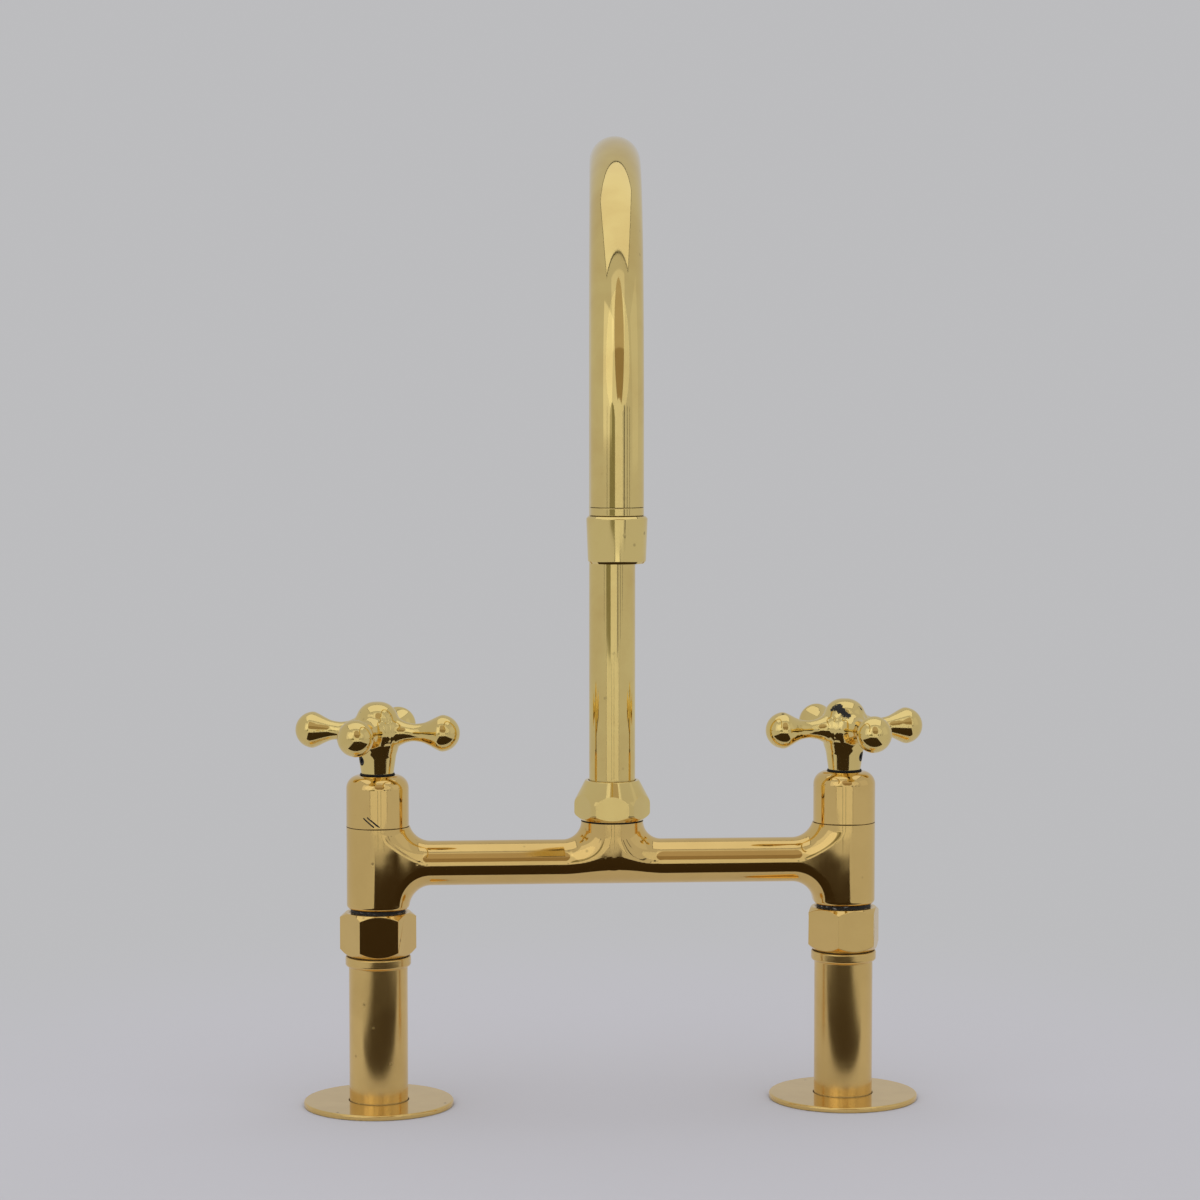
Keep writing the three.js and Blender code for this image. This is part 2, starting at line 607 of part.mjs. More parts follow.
// One barrel of the bridge, about its own axis, with its threaded foot.
function barrel() {
  const top = BARREL_HEIGHT - BAR_RISE;
  const foot = -BAR_RISE;
  return turned(
    [
      [0, foot - SPIGOT_LENGTH],
      [SPIGOT_DIAMETER / 2, foot - SPIGOT_LENGTH],
      [SPIGOT_DIAMETER / 2, foot],
      [barrelRadius, foot, BARREL_EDGE_ROUNDING],
      [barrelRadius, top],
      [0, top],
    ],
    SHOWN_FACETS,
  );
}

// The water's way through one barrel: the inlet, the seat and the chamber for the cartridge.
function barrelWaterway() {
  const foot = -BAR_RISE;
  const inlet = bored(INLET_BORE / 2);
  const chamber = bored(CHAMBER_BORE / 2);
  return turned([
    [0, foot - SPIGOT_LENGTH - OVERCUT],
    [inlet, foot - SPIGOT_LENGTH - OVERCUT],
    [inlet, foot + CHAMBER_FLOOR],
    [chamber, foot + CHAMBER_FLOOR],
    [chamber, BARREL_HEIGHT - BAR_RISE + OVERCUT],
    [0, BARREL_HEIGHT - BAR_RISE + OVERCUT],
  ]);
}

// The way from both chambers to the foot of the spout.
function crossWaterway() {
  const outlet = bored(FERRULE_BORE / 2);
  const socket = bored(SPOUT_SOCKET_BORE / 2);
  const socketTop = BOSS_RISE + BOSS_SPIGOT_HEIGHT + OVERCUT;
  const upward = turned([
    [0, 0],
    [outlet, 0],
    [outlet, SPOUT_SOCKET_FLOOR],
    [socket, SPOUT_SOCKET_FLOOR],
    [socket, socketTop],
    [0, socketTop],
  ]);
  return rod(BAR_WATERWAY / 2, -barrelX, barrelX).rotate(0, QUARTER_TURN, 0).add(upward);
}

function bridgeBody() {
  let body = bar().add(boss());
  for (const side of [-1, 1]) body = body.add(barrel().translate(side * barrelX, 0, 0));
  for (const side of [-1, 1]) body = body.subtract(barrelWaterway().translate(side * barrelX, 0, 0));
  return body.subtract(crossWaterway());
}

// ---- Cartridge ------------------------------------------------------------------------------------------

// Heights in the cartridge and on its spindle are measured from the deck.
function cartridgeBody() {
  const foot = chamberFloor + CARTRIDGE_FOOT_LIFT;
  const hexBottom = barrelTop + SEAT_GAP;
  const hexTop = hexBottom + CARTRIDGE_HEX_HEIGHT;
  const barrelEnd = barrelTop - CARTRIDGE_THREAD_LENGTH;
  const slim = CARTRIDGE_BARREL_DIAMETER / 2;
  const thread = CHAMBER_BORE / 2 - FIT_GAP;
  const upperThread = CARTRIDGE_HEX_ACROSS_FLATS / 2 - SEAT_GAP;
  const neck = CARTRIDGE_NECK_DIAMETER / 2;
  const windowMiddle = barAxis + CARTRIDGE_WINDOW_RISE;
  const windowBottom = windowMiddle - CARTRIDGE_WINDOW_HEIGHT / 2;
  const windowTop = windowMiddle + CARTRIDGE_WINDOW_HEIGHT / 2;
  const cavityTop = windowTop + CARTRIDGE_WINDOW_HEADROOM;
  const cavity = bored(CARTRIDGE_CAVITY_DIAMETER / 2);
  const spindleBore = bored(spindleBoreRadius);
  const outside = turned([
    [0, foot],
    [slim, foot],
    [slim, barrelEnd],
    [thread, barrelEnd],
    [thread, hexBottom + OVERCUT],
    [upperThread, hexBottom + OVERCUT],
    [upperThread, hexTop + BONNET_THREAD_LENGTH],
    [neck, hexTop + BONNET_THREAD_LENGTH],
    [neck, cartridgeTop],
    [0, cartridgeTop],
  ]);
  const inside = turned([
    [0, foot - OVERCUT],
    [cavity, foot - OVERCUT],
    [cavity, cavityTop],
    [spindleBore, cavityTop],
    [spindleBore, cartridgeTop + OVERCUT],
    [0, cartridgeTop + OVERCUT],
  ]);
  const windows = block(2 * CHAMBER_BORE, CARTRIDGE_WINDOW_WIDTH, windowBottom, windowTop);
  const hex = hexagon(CARTRIDGE_HEX_ACROSS_FLATS, hexBottom, hexTop);
  return outside.add(hex).subtract(inside).subtract(windows);
}

function seal() {
  return ring(discRadius, SEAL_BORE / 2, 0, SEAL_HEIGHT);
}

// A ceramic disc with two ports; the moving disc's ports lie a quarter turn away when the valve is shut.
function disc(thickness, turn) {
  const shape = new THREE.Shape(circle(discRadius, HIDDEN_FACETS));
  for (const middle of [turn, turn + HALF_TURN]) {
    const start = (middle - DISC_PORT_ANGLE / 2) * DEGREE;
    const end = (middle + DISC_PORT_ANGLE / 2) * DEGREE;
    const port = new THREE.Path().absarc(0, 0, DISC_PORT_OUTER_RADIUS, start, end);
    port.absarc(0, 0, DISC_PORT_INNER_RADIUS, end, start, true);
    shape.holes.push(port);
  }
  return raised(shape, 0, thickness, 3);
}

// A toothed rod: the spline that the handle sits on.
function spline(bottom, top) {
  const tip = SPLINE_DIAMETER / 2;
  const points = Array.from({ length: 2 * SPLINE_TEETH }, (_, i) => {
    const radius = i % 2 ? tip - SPLINE_TOOTH_DEPTH : tip;
    const angle = (i * Math.PI) / SPLINE_TEETH;
    return new THREE.Vector2(radius * Math.cos(angle), radius * Math.sin(angle));
  });
  return raised(new THREE.Shape(points), bottom, top);
}

function spindle() {
  const shaft = SPINDLE_DIAMETER / 2;
  const ringMiddle = cartridgeTop - SPINDLE_RING_DROP;
  const ringGroove = spindleBoreRadius - SPINDLE_RING_SECTION - 2 * FIT_GAP;
  const halfGroove = SPINDLE_RING_SECTION / 2 + FIT_GAP;
  const clipGroove = CLIP_GROOVE_DIAMETER / 2;
  const clipTop = clipBottom + CLIP_THICKNESS + SEAT_GAP;
  const splineTop = handleFoot + SPLINE_LENGTH;
  const shaped = turned([
    [0, driverBottom],
    [discRadius, driverBottom],
    [discRadius, driverBottom + DRIVER_THICKNESS],
    [shaft, driverBottom + DRIVER_THICKNESS],
    [shaft, ringMiddle - halfGroove],
    [ringGroove, ringMiddle - halfGroove],
    [ringGroove, ringMiddle + halfGroove],
    [shaft, ringMiddle + halfGroove],
    [shaft, clipBottom - SEAT_GAP],
    [clipGroove, clipBottom - SEAT_GAP],
    [clipGroove, clipTop + OVERCUT],
    [0, clipTop + OVERCUT],
  ]);
  return shaped.add(spline(clipTop, splineTop));
}

function spindleRing() {
  return roundRing(spindleBoreRadius - FIT_GAP / 2, SPINDLE_RING_SECTION);
}

// The open clip that keeps the spindle from dropping into the cartridge.
function spindleClip() {
  const inner = CLIP_GROOVE_DIAMETER / 2 + FIT_GAP;
  const start = (CLIP_MOUTH_ANGLE / 2) * DEGREE;
  const end = 2 * Math.PI - start;
  const shape = new THREE.Shape().absarc(0, 0, CLIP_DIAMETER / 2, start, end);
  shape.absarc(0, 0, inner, end, start, true);
  return raised(shape, 0, CLIP_THICKNESS, 5);
}

// ---- Bonnet and handle ----------------------------------------------------------------------------------

function bonnet() {
  const radius = BONNET_DIAMETER / 2;
  const hexCorner = CARTRIDGE_HEX_ACROSS_FLATS / 2 / Math.cos(Math.PI / 6);
  const overHex = bored(hexCorner + FIT_GAP, SHOWN_FACETS);
  const thread = bored(CARTRIDGE_HEX_ACROSS_FLATS / 2 - SEAT_GAP + FIT_GAP, SHOWN_FACETS);
  const neck = bored(CARTRIDGE_NECK_DIAMETER / 2 + BONNET_NECK_CLEARANCE, SHOWN_FACETS);
  const hexRoom = CARTRIDGE_HEX_HEIGHT + SEAT_GAP;
  const roof = BONNET_HEIGHT - BONNET_TOP_WALL;
  return turned(
    [
      [overHex, 0],
      [radius, 0],
      [radius, BONNET_HEIGHT, BONNET_SHOULDER_RADIUS],
      [neck, BONNET_HEIGHT],
      [neck, roof],
      [thread, roof - BONNET_TOP_WALL],
      [thread, hexRoom],
      [overHex, hexRoom],
    ],
    SHOWN_FACETS,
  );
}

// One arm along +X: a flared root, a waist and a ball end, in three smooth curves.
function handleArm() {
  const path = new THREE.Path().moveTo(0, ARM_ROOT_REACH / 2);
  path.lineTo(ARM_ROOT_RADIUS, ARM_ROOT_REACH / 2);
  path.lineTo(ARM_ROOT_RADIUS, ARM_ROOT_REACH);
  const narrowing = ARM_WAIST_REACH - ARM_ROOT_REACH;
  path.bezierCurveTo(
    THREE.MathUtils.lerp(ARM_WAIST_RADIUS, ARM_ROOT_RADIUS, ARM_NARROWING.leaveRadius),
    ARM_ROOT_REACH + ARM_NARROWING.leave * narrowing,
    ARM_WAIST_RADIUS,
    ARM_ROOT_REACH + ARM_NARROWING.meet * narrowing,
    ARM_WAIST_RADIUS,
    ARM_WAIST_REACH,
  );
  const widening = ARM_BALL_REACH - ARM_WAIST_REACH;
  path.bezierCurveTo(
    ARM_WAIST_RADIUS,
    ARM_WAIST_REACH + ARM_WIDENING.leave * widening,
    THREE.MathUtils.lerp(ARM_BALL_RADIUS, ARM_WAIST_RADIUS, ARM_WIDENING.meetRadius),
    ARM_WAIST_REACH + ARM_WIDENING.meet * widening,
    ARM_BALL_RADIUS,
    ARM_BALL_REACH,
  );
  path.bezierCurveTo(
    ARM_CROWN.leaveRadius * ARM_BALL_RADIUS,
    ARM_BALL_REACH + ARM_CROWN.leave * (ARM_REACH - ARM_BALL_REACH),
    ARM_CROWN.meetRadius * ARM_BALL_RADIUS,
    ARM_REACH,
    0,
    ARM_REACH,
  );
  return revolve(path.getPoints(ARM_CURVE_STEPS), SMALL_FACETS).rotate(0, QUARTER_TURN, 0);
}

// Direction of the set screw in the handle's own frame, from its front arm towards its outer arm.
const screwTurn = (side) => (side < 0 ? HALF_TURN + SET_SCREW_DIRECTION : -SET_SCREW_DIRECTION);

const neckRadiusAtScrew = THREE.MathUtils.mapLinear(
  SET_SCREW_RISE,
  0,
  HANDLE_ARM_RISE - HANDLE_NECK_TOP_DROP,
  HANDLE_NECK_FOOT_RADIUS,
  HANDLE_NECK_TOP_RADIUS,
);

// The handle, with heights from the foot of its neck: hub, dome, four arms, and a socket for the spline.
function handle(side) {
  const socket = SPLINE_DIAMETER / 2 + FIT_GAP;
  const domeTop = HANDLE_ARM_RISE + HANDLE_DOME_RISE;
  let casting = turned(
    [
      [0, 0],
      [HANDLE_NECK_FOOT_RADIUS, 0],
      [HANDLE_NECK_TOP_RADIUS, HANDLE_ARM_RISE - HANDLE_NECK_TOP_DROP, HANDLE_NECK_ROUNDING],
      [HANDLE_HUB_RADIUS, HANDLE_ARM_RISE - HANDLE_HUB_DROP, HANDLE_HUB_ROUNDING],
      [HANDLE_DOME_RADIUS, domeTop, HANDLE_DOME_ROUNDING],
      [0, domeTop],
    ],
    2 * SMALL_FACETS,
  );
  for (let arm = 0; arm < ARM_COUNT; arm++) {
    const turn = (arm * 360) / ARM_COUNT;
    casting = casting.add(handleArm().rotate(0, 0, turn).translate(0, 0, HANDLE_ARM_RISE));
  }
  const screwHole = hole(SET_SCREW_DIAMETER / 2 + FIT_GAP, OVERCUT, HANDLE_HUB_RADIUS, SMALL_FACETS)
    .rotate(0, QUARTER_TURN, 0)
    .rotate(0, 0, screwTurn(side))
    .translate(0, 0, SET_SCREW_RISE);
  return casting.subtract(hole(socket, 0, SPLINE_LENGTH + SEAT_GAP - OVERCUT)).subtract(screwHole);
}

// The set screw lies along X, its cup against the spline and its socket outwards.
function setScrew() {
  const radius = SET_SCREW_DIAMETER / 2;
  const start = SPLINE_DIAMETER / 2 + SEAT_GAP;
  const end = neckRadiusAtScrew - SET_SCREW_SINK;
  const socket = SET_SCREW_SOCKET_DIAMETER / 2;
  return turned(
    [
      [0, start],
      [radius, start],
      [radius, end],
      [socket, end],
      [socket, end - SET_SCREW_SOCKET_DEPTH],
      [0, end - SET_SCREW_SOCKET_DEPTH],
    ],
    SMALL_FACETS,
  ).rotate(0, QUARTER_TURN, 0);
}

// ---- Spout --------------------------------------------------------------------------------------------

// The gooseneck's centre line: the riser, a half circle towards -Y and the outlet leg.
class GooseneckLine extends THREE.Curve {
  constructor(bottom) {
    super();
    this.bottom = bottom;
    this.steps = SPOUT_BEND_STEPS + 2;
  }

  getPoint(t, target = new THREE.Vector3()) {
    const step = t * this.steps;
    const bend = THREE.MathUtils.clamp((step - 1) / SPOUT_BEND_STEPS, 0, 1) * Math.PI;
    const rising = Math.min(step, 1);
    const falling = Math.max(step - this.steps + 1, 0);
    const riser = THREE.MathUtils.lerp(this.bottom, SPOUT_BEND_HEIGHT, rising) - SPOUT_BEND_HEIGHT;
    const height = SPOUT_BEND_HEIGHT + riser + SPOUT_BEND_RADIUS * Math.sin(bend);
    const reach = SPOUT_BEND_RADIUS * (1 - Math.cos(bend));
    return target.set(0, -reach, height - falling * SPOUT_OUTLET_LENGTH);
  }

  // One step along each straight run and even steps round the bend.
  getUtoTmapping(u) {
    return u;
  }
}

function spoutTube() {
  const shape = new THREE.Shape(circle(SPOUT_TUBE_DIAMETER / 2, SPOUT_FACETS));
  shape.holes.push(new THREE.Path(circle(SPOUT_TUBE_BORE / 2, SPOUT_FACETS)));
  const extrudePath = new GooseneckLine(spoutTubeBottom);
  const options = { extrudePath, steps: extrudePath.steps };
  return solid(new THREE.ExtrudeGeometry(shape, options));
}

// The nut that holds the spout down: a hexagon cut by one rounded, turned profile.
function spoutNut() {
  const coneFoot = SPOUT_NUT_HEIGHT - SPOUT_NUT_CONE_HEIGHT;
  const widest = SPOUT_NUT_DIAMETER / 2;
  const blank = turned(
    [
      [0, 0],
      [SPOUT_NUT_FOOT_DIAMETER / 2, 0],
      [widest, SPOUT_NUT_FOOT_CHAMFER, SPOUT_NUT_FOOT_ROUNDING],
      [widest, coneFoot, SPOUT_NUT_SHOULDER_ROUNDING],
      [SPOUT_NUT_TOP_DIAMETER / 2, SPOUT_NUT_HEIGHT],
      [0, SPOUT_NUT_HEIGHT],
    ],
    SHOWN_FACETS,
  );
  const thread = bored(Math.max(BOSS_SPIGOT_DIAMETER, FERRULE_FLANGE_DIAMETER) / 2 + FIT_GAP);
  const shoulder = ferruleTop + SEAT_GAP - spoutNutBottom;
  const bore = turned([
    [0, -OVERCUT],
    [thread, -OVERCUT],
    [thread, shoulder],
    [0, shoulder],
  ]).add(hole(SPOUT_TUBE_DIAMETER / 2 + RUN_GAP, shoulder, SPOUT_NUT_HEIGHT, SHOWN_FACETS));
  return hexagon(SPOUT_NUT_ACROSS_FLATS, 0, SPOUT_NUT_HEIGHT).intersect(blank).subtract(bore);
}

// The machined foot of the spout: a plug with two O-ring grooves, and a flange that the nut holds.
function ferrule() {
  const bore = bored(FERRULE_BORE / 2);
  const plug = SPOUT_SOCKET_BORE / 2 - RUN_GAP;
  const groove = SPOUT_SOCKET_BORE / 2 - FIT_GAP / 2 - SPOUT_RING_SECTION - SEAT_GAP;
  const halfGroove = SPOUT_RING_SECTION / 2 + FIT_GAP;
  const flangeBottom = ferruleFlangeBottom - ferruleBottom;
  const top = ferruleTop - ferruleBottom;
  const tubeSocket = bored(SPOUT_TUBE_DIAMETER / 2 + FIT_GAP);
  const grooves = SPOUT_RING_HEIGHTS.flatMap((height) => [
    [plug, height - halfGroove],
    [groove, height - halfGroove],
    [groove, height + halfGroove],
    [plug, height + halfGroove],
  ]);
  return turned([
    [bore, 0],
    [plug, 0],
    ...grooves,
    [plug, flangeBottom],
    [FERRULE_FLANGE_DIAMETER / 2, flangeBottom],
    [FERRULE_FLANGE_DIAMETER / 2, top],
    [tubeSocket, top],
    [tubeSocket, top - FERRULE_TUBE_SOCKET_DEPTH],
    [bore, top - FERRULE_TUBE_SOCKET_DEPTH],
  ]);
}

function spoutRing() {
  return roundRing(SPOUT_SOCKET_BORE / 2 - FIT_GAP / 2, SPOUT_RING_SECTION);
}

function slipBush() {
  const inner = SPOUT_SOCKET_BORE / 2;
  return ring(BOSS_SPIGOT_DIAMETER / 2, inner, 0, BUSH_THICKNESS);
}

// The tip: an insert brazed into the tube, a short neck and a thread for the aerator housing.
function spoutTip() {
  const bore = bored(TIP_BORE / 2, SHOWN_FACETS);
  const thread = TIP_THREAD_DIAMETER / 2;
  const neck = SPOUT_TUBE_DIAMETER / 2;
  const insert = SPOUT_TUBE_BORE / 2 - FIT_GAP;
  return turned(
    [
      [bore, -TIP_NECK_HEIGHT - TIP_THREAD_LENGTH],
      [thread, -TIP_NECK_HEIGHT - TIP_THREAD_LENGTH],
      [thread, -TIP_NECK_HEIGHT],
      [neck, -TIP_NECK_HEIGHT],
      [neck, 0],
      [insert, 0],
      [insert, TIP_INSERT_LENGTH],
      [bore, TIP_INSERT_LENGTH],
    ],
    SHOWN_FACETS,
  );
}

function aeratorHousing() {
  const top = HOUSING_TOP_DIAMETER / 2;
  const foot = HOUSING_FOOT_DIAMETER / 2;
  const thread = bored(TIP_THREAD_DIAMETER / 2 + FIT_GAP, SHOWN_FACETS);
  const lip = bored(HOUSING_LIP_BORE / 2, SHOWN_FACETS);
  return turned(
    [
      [lip, -HOUSING_HEIGHT],
      [foot - HOUSING_EDGE_CHAMFER, -HOUSING_HEIGHT],
      [foot, HOUSING_EDGE_CHAMFER - HOUSING_HEIGHT],
      [top, -HOUSING_EDGE_CHAMFER],
      [top - HOUSING_EDGE_CHAMFER, 0],
      [thread, 0],
      [thread, HOUSING_LIP_HEIGHT - HOUSING_HEIGHT],
      [lip, HOUSING_LIP_HEIGHT - HOUSING_HEIGHT],
    ],
    SHOWN_FACETS,
  );
}

const aeratorRadius = TIP_THREAD_DIAMETER / 2;

// A disc full of cells in a hexagonal pattern, as many as fit inside a radius.
function cellDisc(radius, cellDiameter, cellSides, bottom, top) {
  const wall = AERATOR_CELL_WALL;
  const shape = new THREE.Shape(circle(radius, HIDDEN_FACETS));
  const pitch = cellDiameter + wall;
  const rows = Math.ceil(radius / pitch) + 1;
  for (let row = -rows; row <= rows; row++) {
    for (let column = -rows; column <= rows; column++) {
      const x = pitch * (column + row / 2);
      const y = pitch * row * Math.sin(60 * DEGREE);
      if (Math.hypot(x, y) + cellDiameter / 2 + wall / 2 > radius) continue;
      shape.holes.push(new THREE.Path(circle(cellDiameter / 2, cellSides, x, y)));
    }
  }
  return raised(shape, bottom, top);
}

// The flow straightener, hung by its rim on the housing's lip, its cells open downwards.
function aeratorCore() {
  const rimBottom = -AERATOR_RIM_HEIGHT;
  const cellRadius = HOUSING_LIP_BORE / 2 - FIT_GAP;
  const foot = housingTop - HOUSING_HEIGHT + HOUSING_EDGE_CHAMFER - aeratorRimTop;
  const rim = ring(aeratorRadius, cellRadius - OVERCUT, rimBottom, 0);
  return rim.add(cellDisc(cellRadius, AERATOR_CELL_DIAMETER, 6, foot, rimBottom + OVERCUT));
}

function aeratorScreen() {
  return cellDisc(aeratorRadius, AERATOR_CELL_DIAMETER, 4, -AERATOR_SCREEN_THICKNESS, 0);
}

// ---- Assembly -----------------------------------------------------------------------------------------

function deckHardware(side) {
  const washerBore = SHANK_DIAMETER / 2 + FIT_GAP;
  const washerRadius = DECK_WASHER_DIAMETER / 2;
  const rubberBottom = -DECK_THICKNESS - SEAT_GAP - RUBBER_WASHER_THICKNESS;
  const steelBottom = rubberBottom - SEAT_GAP - STEEL_WASHER_THICKNESS;
  const nutBottom = steelBottom - SEAT_GAP - BACK_NUT_HEIGHT;
  const rubberWasher = ring(washerRadius, washerBore, 0, RUBBER_WASHER_THICKNESS);
  const steelWasher = ring(washerRadius, washerBore, 0, STEEL_WASHER_THICKNESS);
  return [
    piece(`${side}_flange`, flange(), polishedBrass),
    piece(`${side}_deck_gasket`, gasket(), rubber),
    piece(`${side}_shank`, shank(), plainBrass),
    piece(`${side}_rubber_washer`, rubberWasher, rubber, rubberBottom),
    piece(`${side}_steel_washer`, steelWasher, steel, steelBottom),
    piece(`${side}_back_nut`, backNut(), plainBrass, nutBottom),
  ];
}

function legAndUnion(side, nutTurn) {
  const nut = piece(`${side}_union_nut`, unionNut(), polishedBrass, unionNutBottom);
  nut.rotation.z = nutTurn * DEGREE;
  return [
    piece(`${side}_leg`, leg(), polishedBrass, legBottom),
    piece(`${side}_tailpiece`, tailpiece(), plainBrass, tailpieceFlangeBottom),
    piece(`${side}_union_washer`, unionWasher(), rubber, unionWasherBottom),
    nut,
  ];
}

function valve(side) {
  return [
    piece(`${side}_cartridge_body`, cartridgeBody(), plainBrass),
    piece(`${side}_cartridge_seal`, seal(), rubber, sealBottom),
    piece(`${side}_fixed_disc`, disc(FIXED_DISC_THICKNESS, 0), ceramic, fixedDiscBottom),
    piece(`${side}_bonnet`, bonnet(), polishedBrass, bonnetBottom),
  ];
}

// All that a hand turns together: the handle, its screw, the spindle and the moving disc.
function turningGroup(side, sign, turn) {
  const screw = piece(`${side}_handle_screw`, setScrew(), steel, handleFoot + SET_SCREW_RISE);
  screw.rotation.z = screwTurn(sign) * DEGREE;
  const ringHeight = cartridgeTop - SPINDLE_RING_DROP;
  return groupOf(
    [
      piece(`${side}_handle`, handle(sign), polishedBrass, handleFoot),
      screw,
      piece(`${side}_spindle`, spindle(), plainBrass),
      piece(`${side}_spindle_clip`, spindleClip(), steel, clipBottom),
      piece(`${side}_spindle_oring`, spindleRing(), rubber, ringHeight),
      piece(`${side}_moving_disc`, disc(MOVING_DISC_THICKNESS, QUARTER_TURN), ceramic, movingDiscBottom),
    ],
    { turn },
  );
}

function sideOf(side, sign, handleTurn, nutTurn) {
  return groupOf(
    [
      ...deckHardware(side),
      ...legAndUnion(side, nutTurn),
      ...valve(side),
      turningGroup(side, sign, handleTurn),
    ],
    { x: sign * barrelX },
  );
}

function spoutGroup() {
  const outlet = [
    piece('spout_tip', spoutTip(), polishedBrass, tipTop),
    piece('aerator_housing', aeratorHousing(), polishedBrass, housingTop),
    piece(
      'aerator_washer',
      ring(aeratorRadius, AERATOR_WASHER_BORE / 2, -AERATOR_WASHER_THICKNESS, 0),
      rubber,
      aeratorWasherTop,
    ),
    piece('aerator_screen', aeratorScreen(), steel, screenTop),
    piece('aerator_core', aeratorCore(), blackPlastic, aeratorRimTop),
  ];
  for (const part of outlet) part.position.y = -2 * SPOUT_BEND_RADIUS;
  const rings = ['lower', 'upper'].map((level, i) =>
    piece(`spout_oring_${level}`, spoutRing(), rubber, ferruleBottom + SPOUT_RING_HEIGHTS[i]),
  );
  return groupOf(
    [
      piece('spout_tube', spoutTube(), polishedBrass),
      piece('spout_ferrule', ferrule(), plainBrass, ferruleBottom),
      ...rings,
      ...outlet,
    ],
    { turn: SPOUT_TURN },
  );
}

const nutOnBoss = piece('spout_nut', spoutNut(), polishedBrass, spoutNutBottom);
nutOnBoss.rotation.z = SPOUT_TURN * DEGREE;

const faucet = groupOf([
  piece('bridge_body', bridgeBody(), polishedBrass, barAxis),
  nutOnBoss,
  piece('slip_bush', slipBush(), acetal, bushBottom),
  spoutGroup(),
  sideOf('left', -1, LEFT_HANDLE_TURN, LEFT_UNION_NUT_TURN),
  sideOf('right', 1, RIGHT_HANDLE_TURN, RIGHT_UNION_NUT_TURN),
]);

export default faucet;
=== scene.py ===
"""Bridge kitchen faucet in unlacquered brass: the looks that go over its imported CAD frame."""

import json
import math
from functools import partialmethod

import bmesh
import bpy
import numpy as np
from mathutils import Matrix, Vector


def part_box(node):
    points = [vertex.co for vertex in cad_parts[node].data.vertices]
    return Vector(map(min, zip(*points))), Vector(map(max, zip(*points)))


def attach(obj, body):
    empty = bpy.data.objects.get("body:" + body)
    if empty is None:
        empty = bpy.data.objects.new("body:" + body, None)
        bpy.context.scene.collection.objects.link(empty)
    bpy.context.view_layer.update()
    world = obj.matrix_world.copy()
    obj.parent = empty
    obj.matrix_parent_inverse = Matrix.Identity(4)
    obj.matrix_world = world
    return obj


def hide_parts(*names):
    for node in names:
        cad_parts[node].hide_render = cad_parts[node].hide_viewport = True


bl_info = {
    "name": "Bridge kitchen faucet",
    "version": (1, 0, 0),
    "blender": (4, 5, 0),
    "location": "3D View > Sidebar > Faucet",
    "description": "Models an unlacquered brass bridge faucet piece by piece over its CAD frame",
    "category": "Add Mesh",
}

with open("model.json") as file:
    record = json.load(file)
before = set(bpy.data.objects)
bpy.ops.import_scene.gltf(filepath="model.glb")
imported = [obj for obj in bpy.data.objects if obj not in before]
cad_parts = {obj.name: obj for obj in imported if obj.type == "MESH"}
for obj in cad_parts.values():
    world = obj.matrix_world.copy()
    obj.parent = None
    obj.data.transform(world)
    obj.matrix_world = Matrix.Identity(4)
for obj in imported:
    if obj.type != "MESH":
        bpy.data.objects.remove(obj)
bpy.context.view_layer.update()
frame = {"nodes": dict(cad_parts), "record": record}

MM = 0.001
SIDES = (("left", -1), ("right", 1))
TURNED_STEPS = 96
HEXAGON = math.cos(math.pi / 6)  # a hexagon's width across its flats over that across its corners
BARREL_FOOT, BARREL_FOOT_ROUNDING = 86.1, 1.7  # mm
BAR_AXIS = 105.4  # mm above the deck
BARREL_GAP, BOSS_GAP = 0.2, 0.7  # what stays open under the bonnets and under the spout nut, mm


def heights(node):
    """Foot and top of a CAD node, mm."""
    low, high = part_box(node)
    return low.z / MM, high.z / MM


def boss_top():
    """Where the boss ends under the spout nut, mm."""
    return heights("spout_nut")[0] - BOSS_GAP


# ---- Sizes and finishes -----------------------------------------------------------------------


def length_property(name, description, default):
    return bpy.props.FloatProperty(
        name=name, description=description, default=default, unit="LENGTH", precision=5
    )


def angle_property(name, description, degrees):
    turn = math.radians(degrees)
    return bpy.props.FloatProperty(name=name, description=description, default=turn, unit="ROTATION")


def colour_property(name, description, colour):
    return bpy.props.FloatVectorProperty(
        name=name, description=description, default=colour, subtype="COLOR", size=3, min=0, max=1
    )


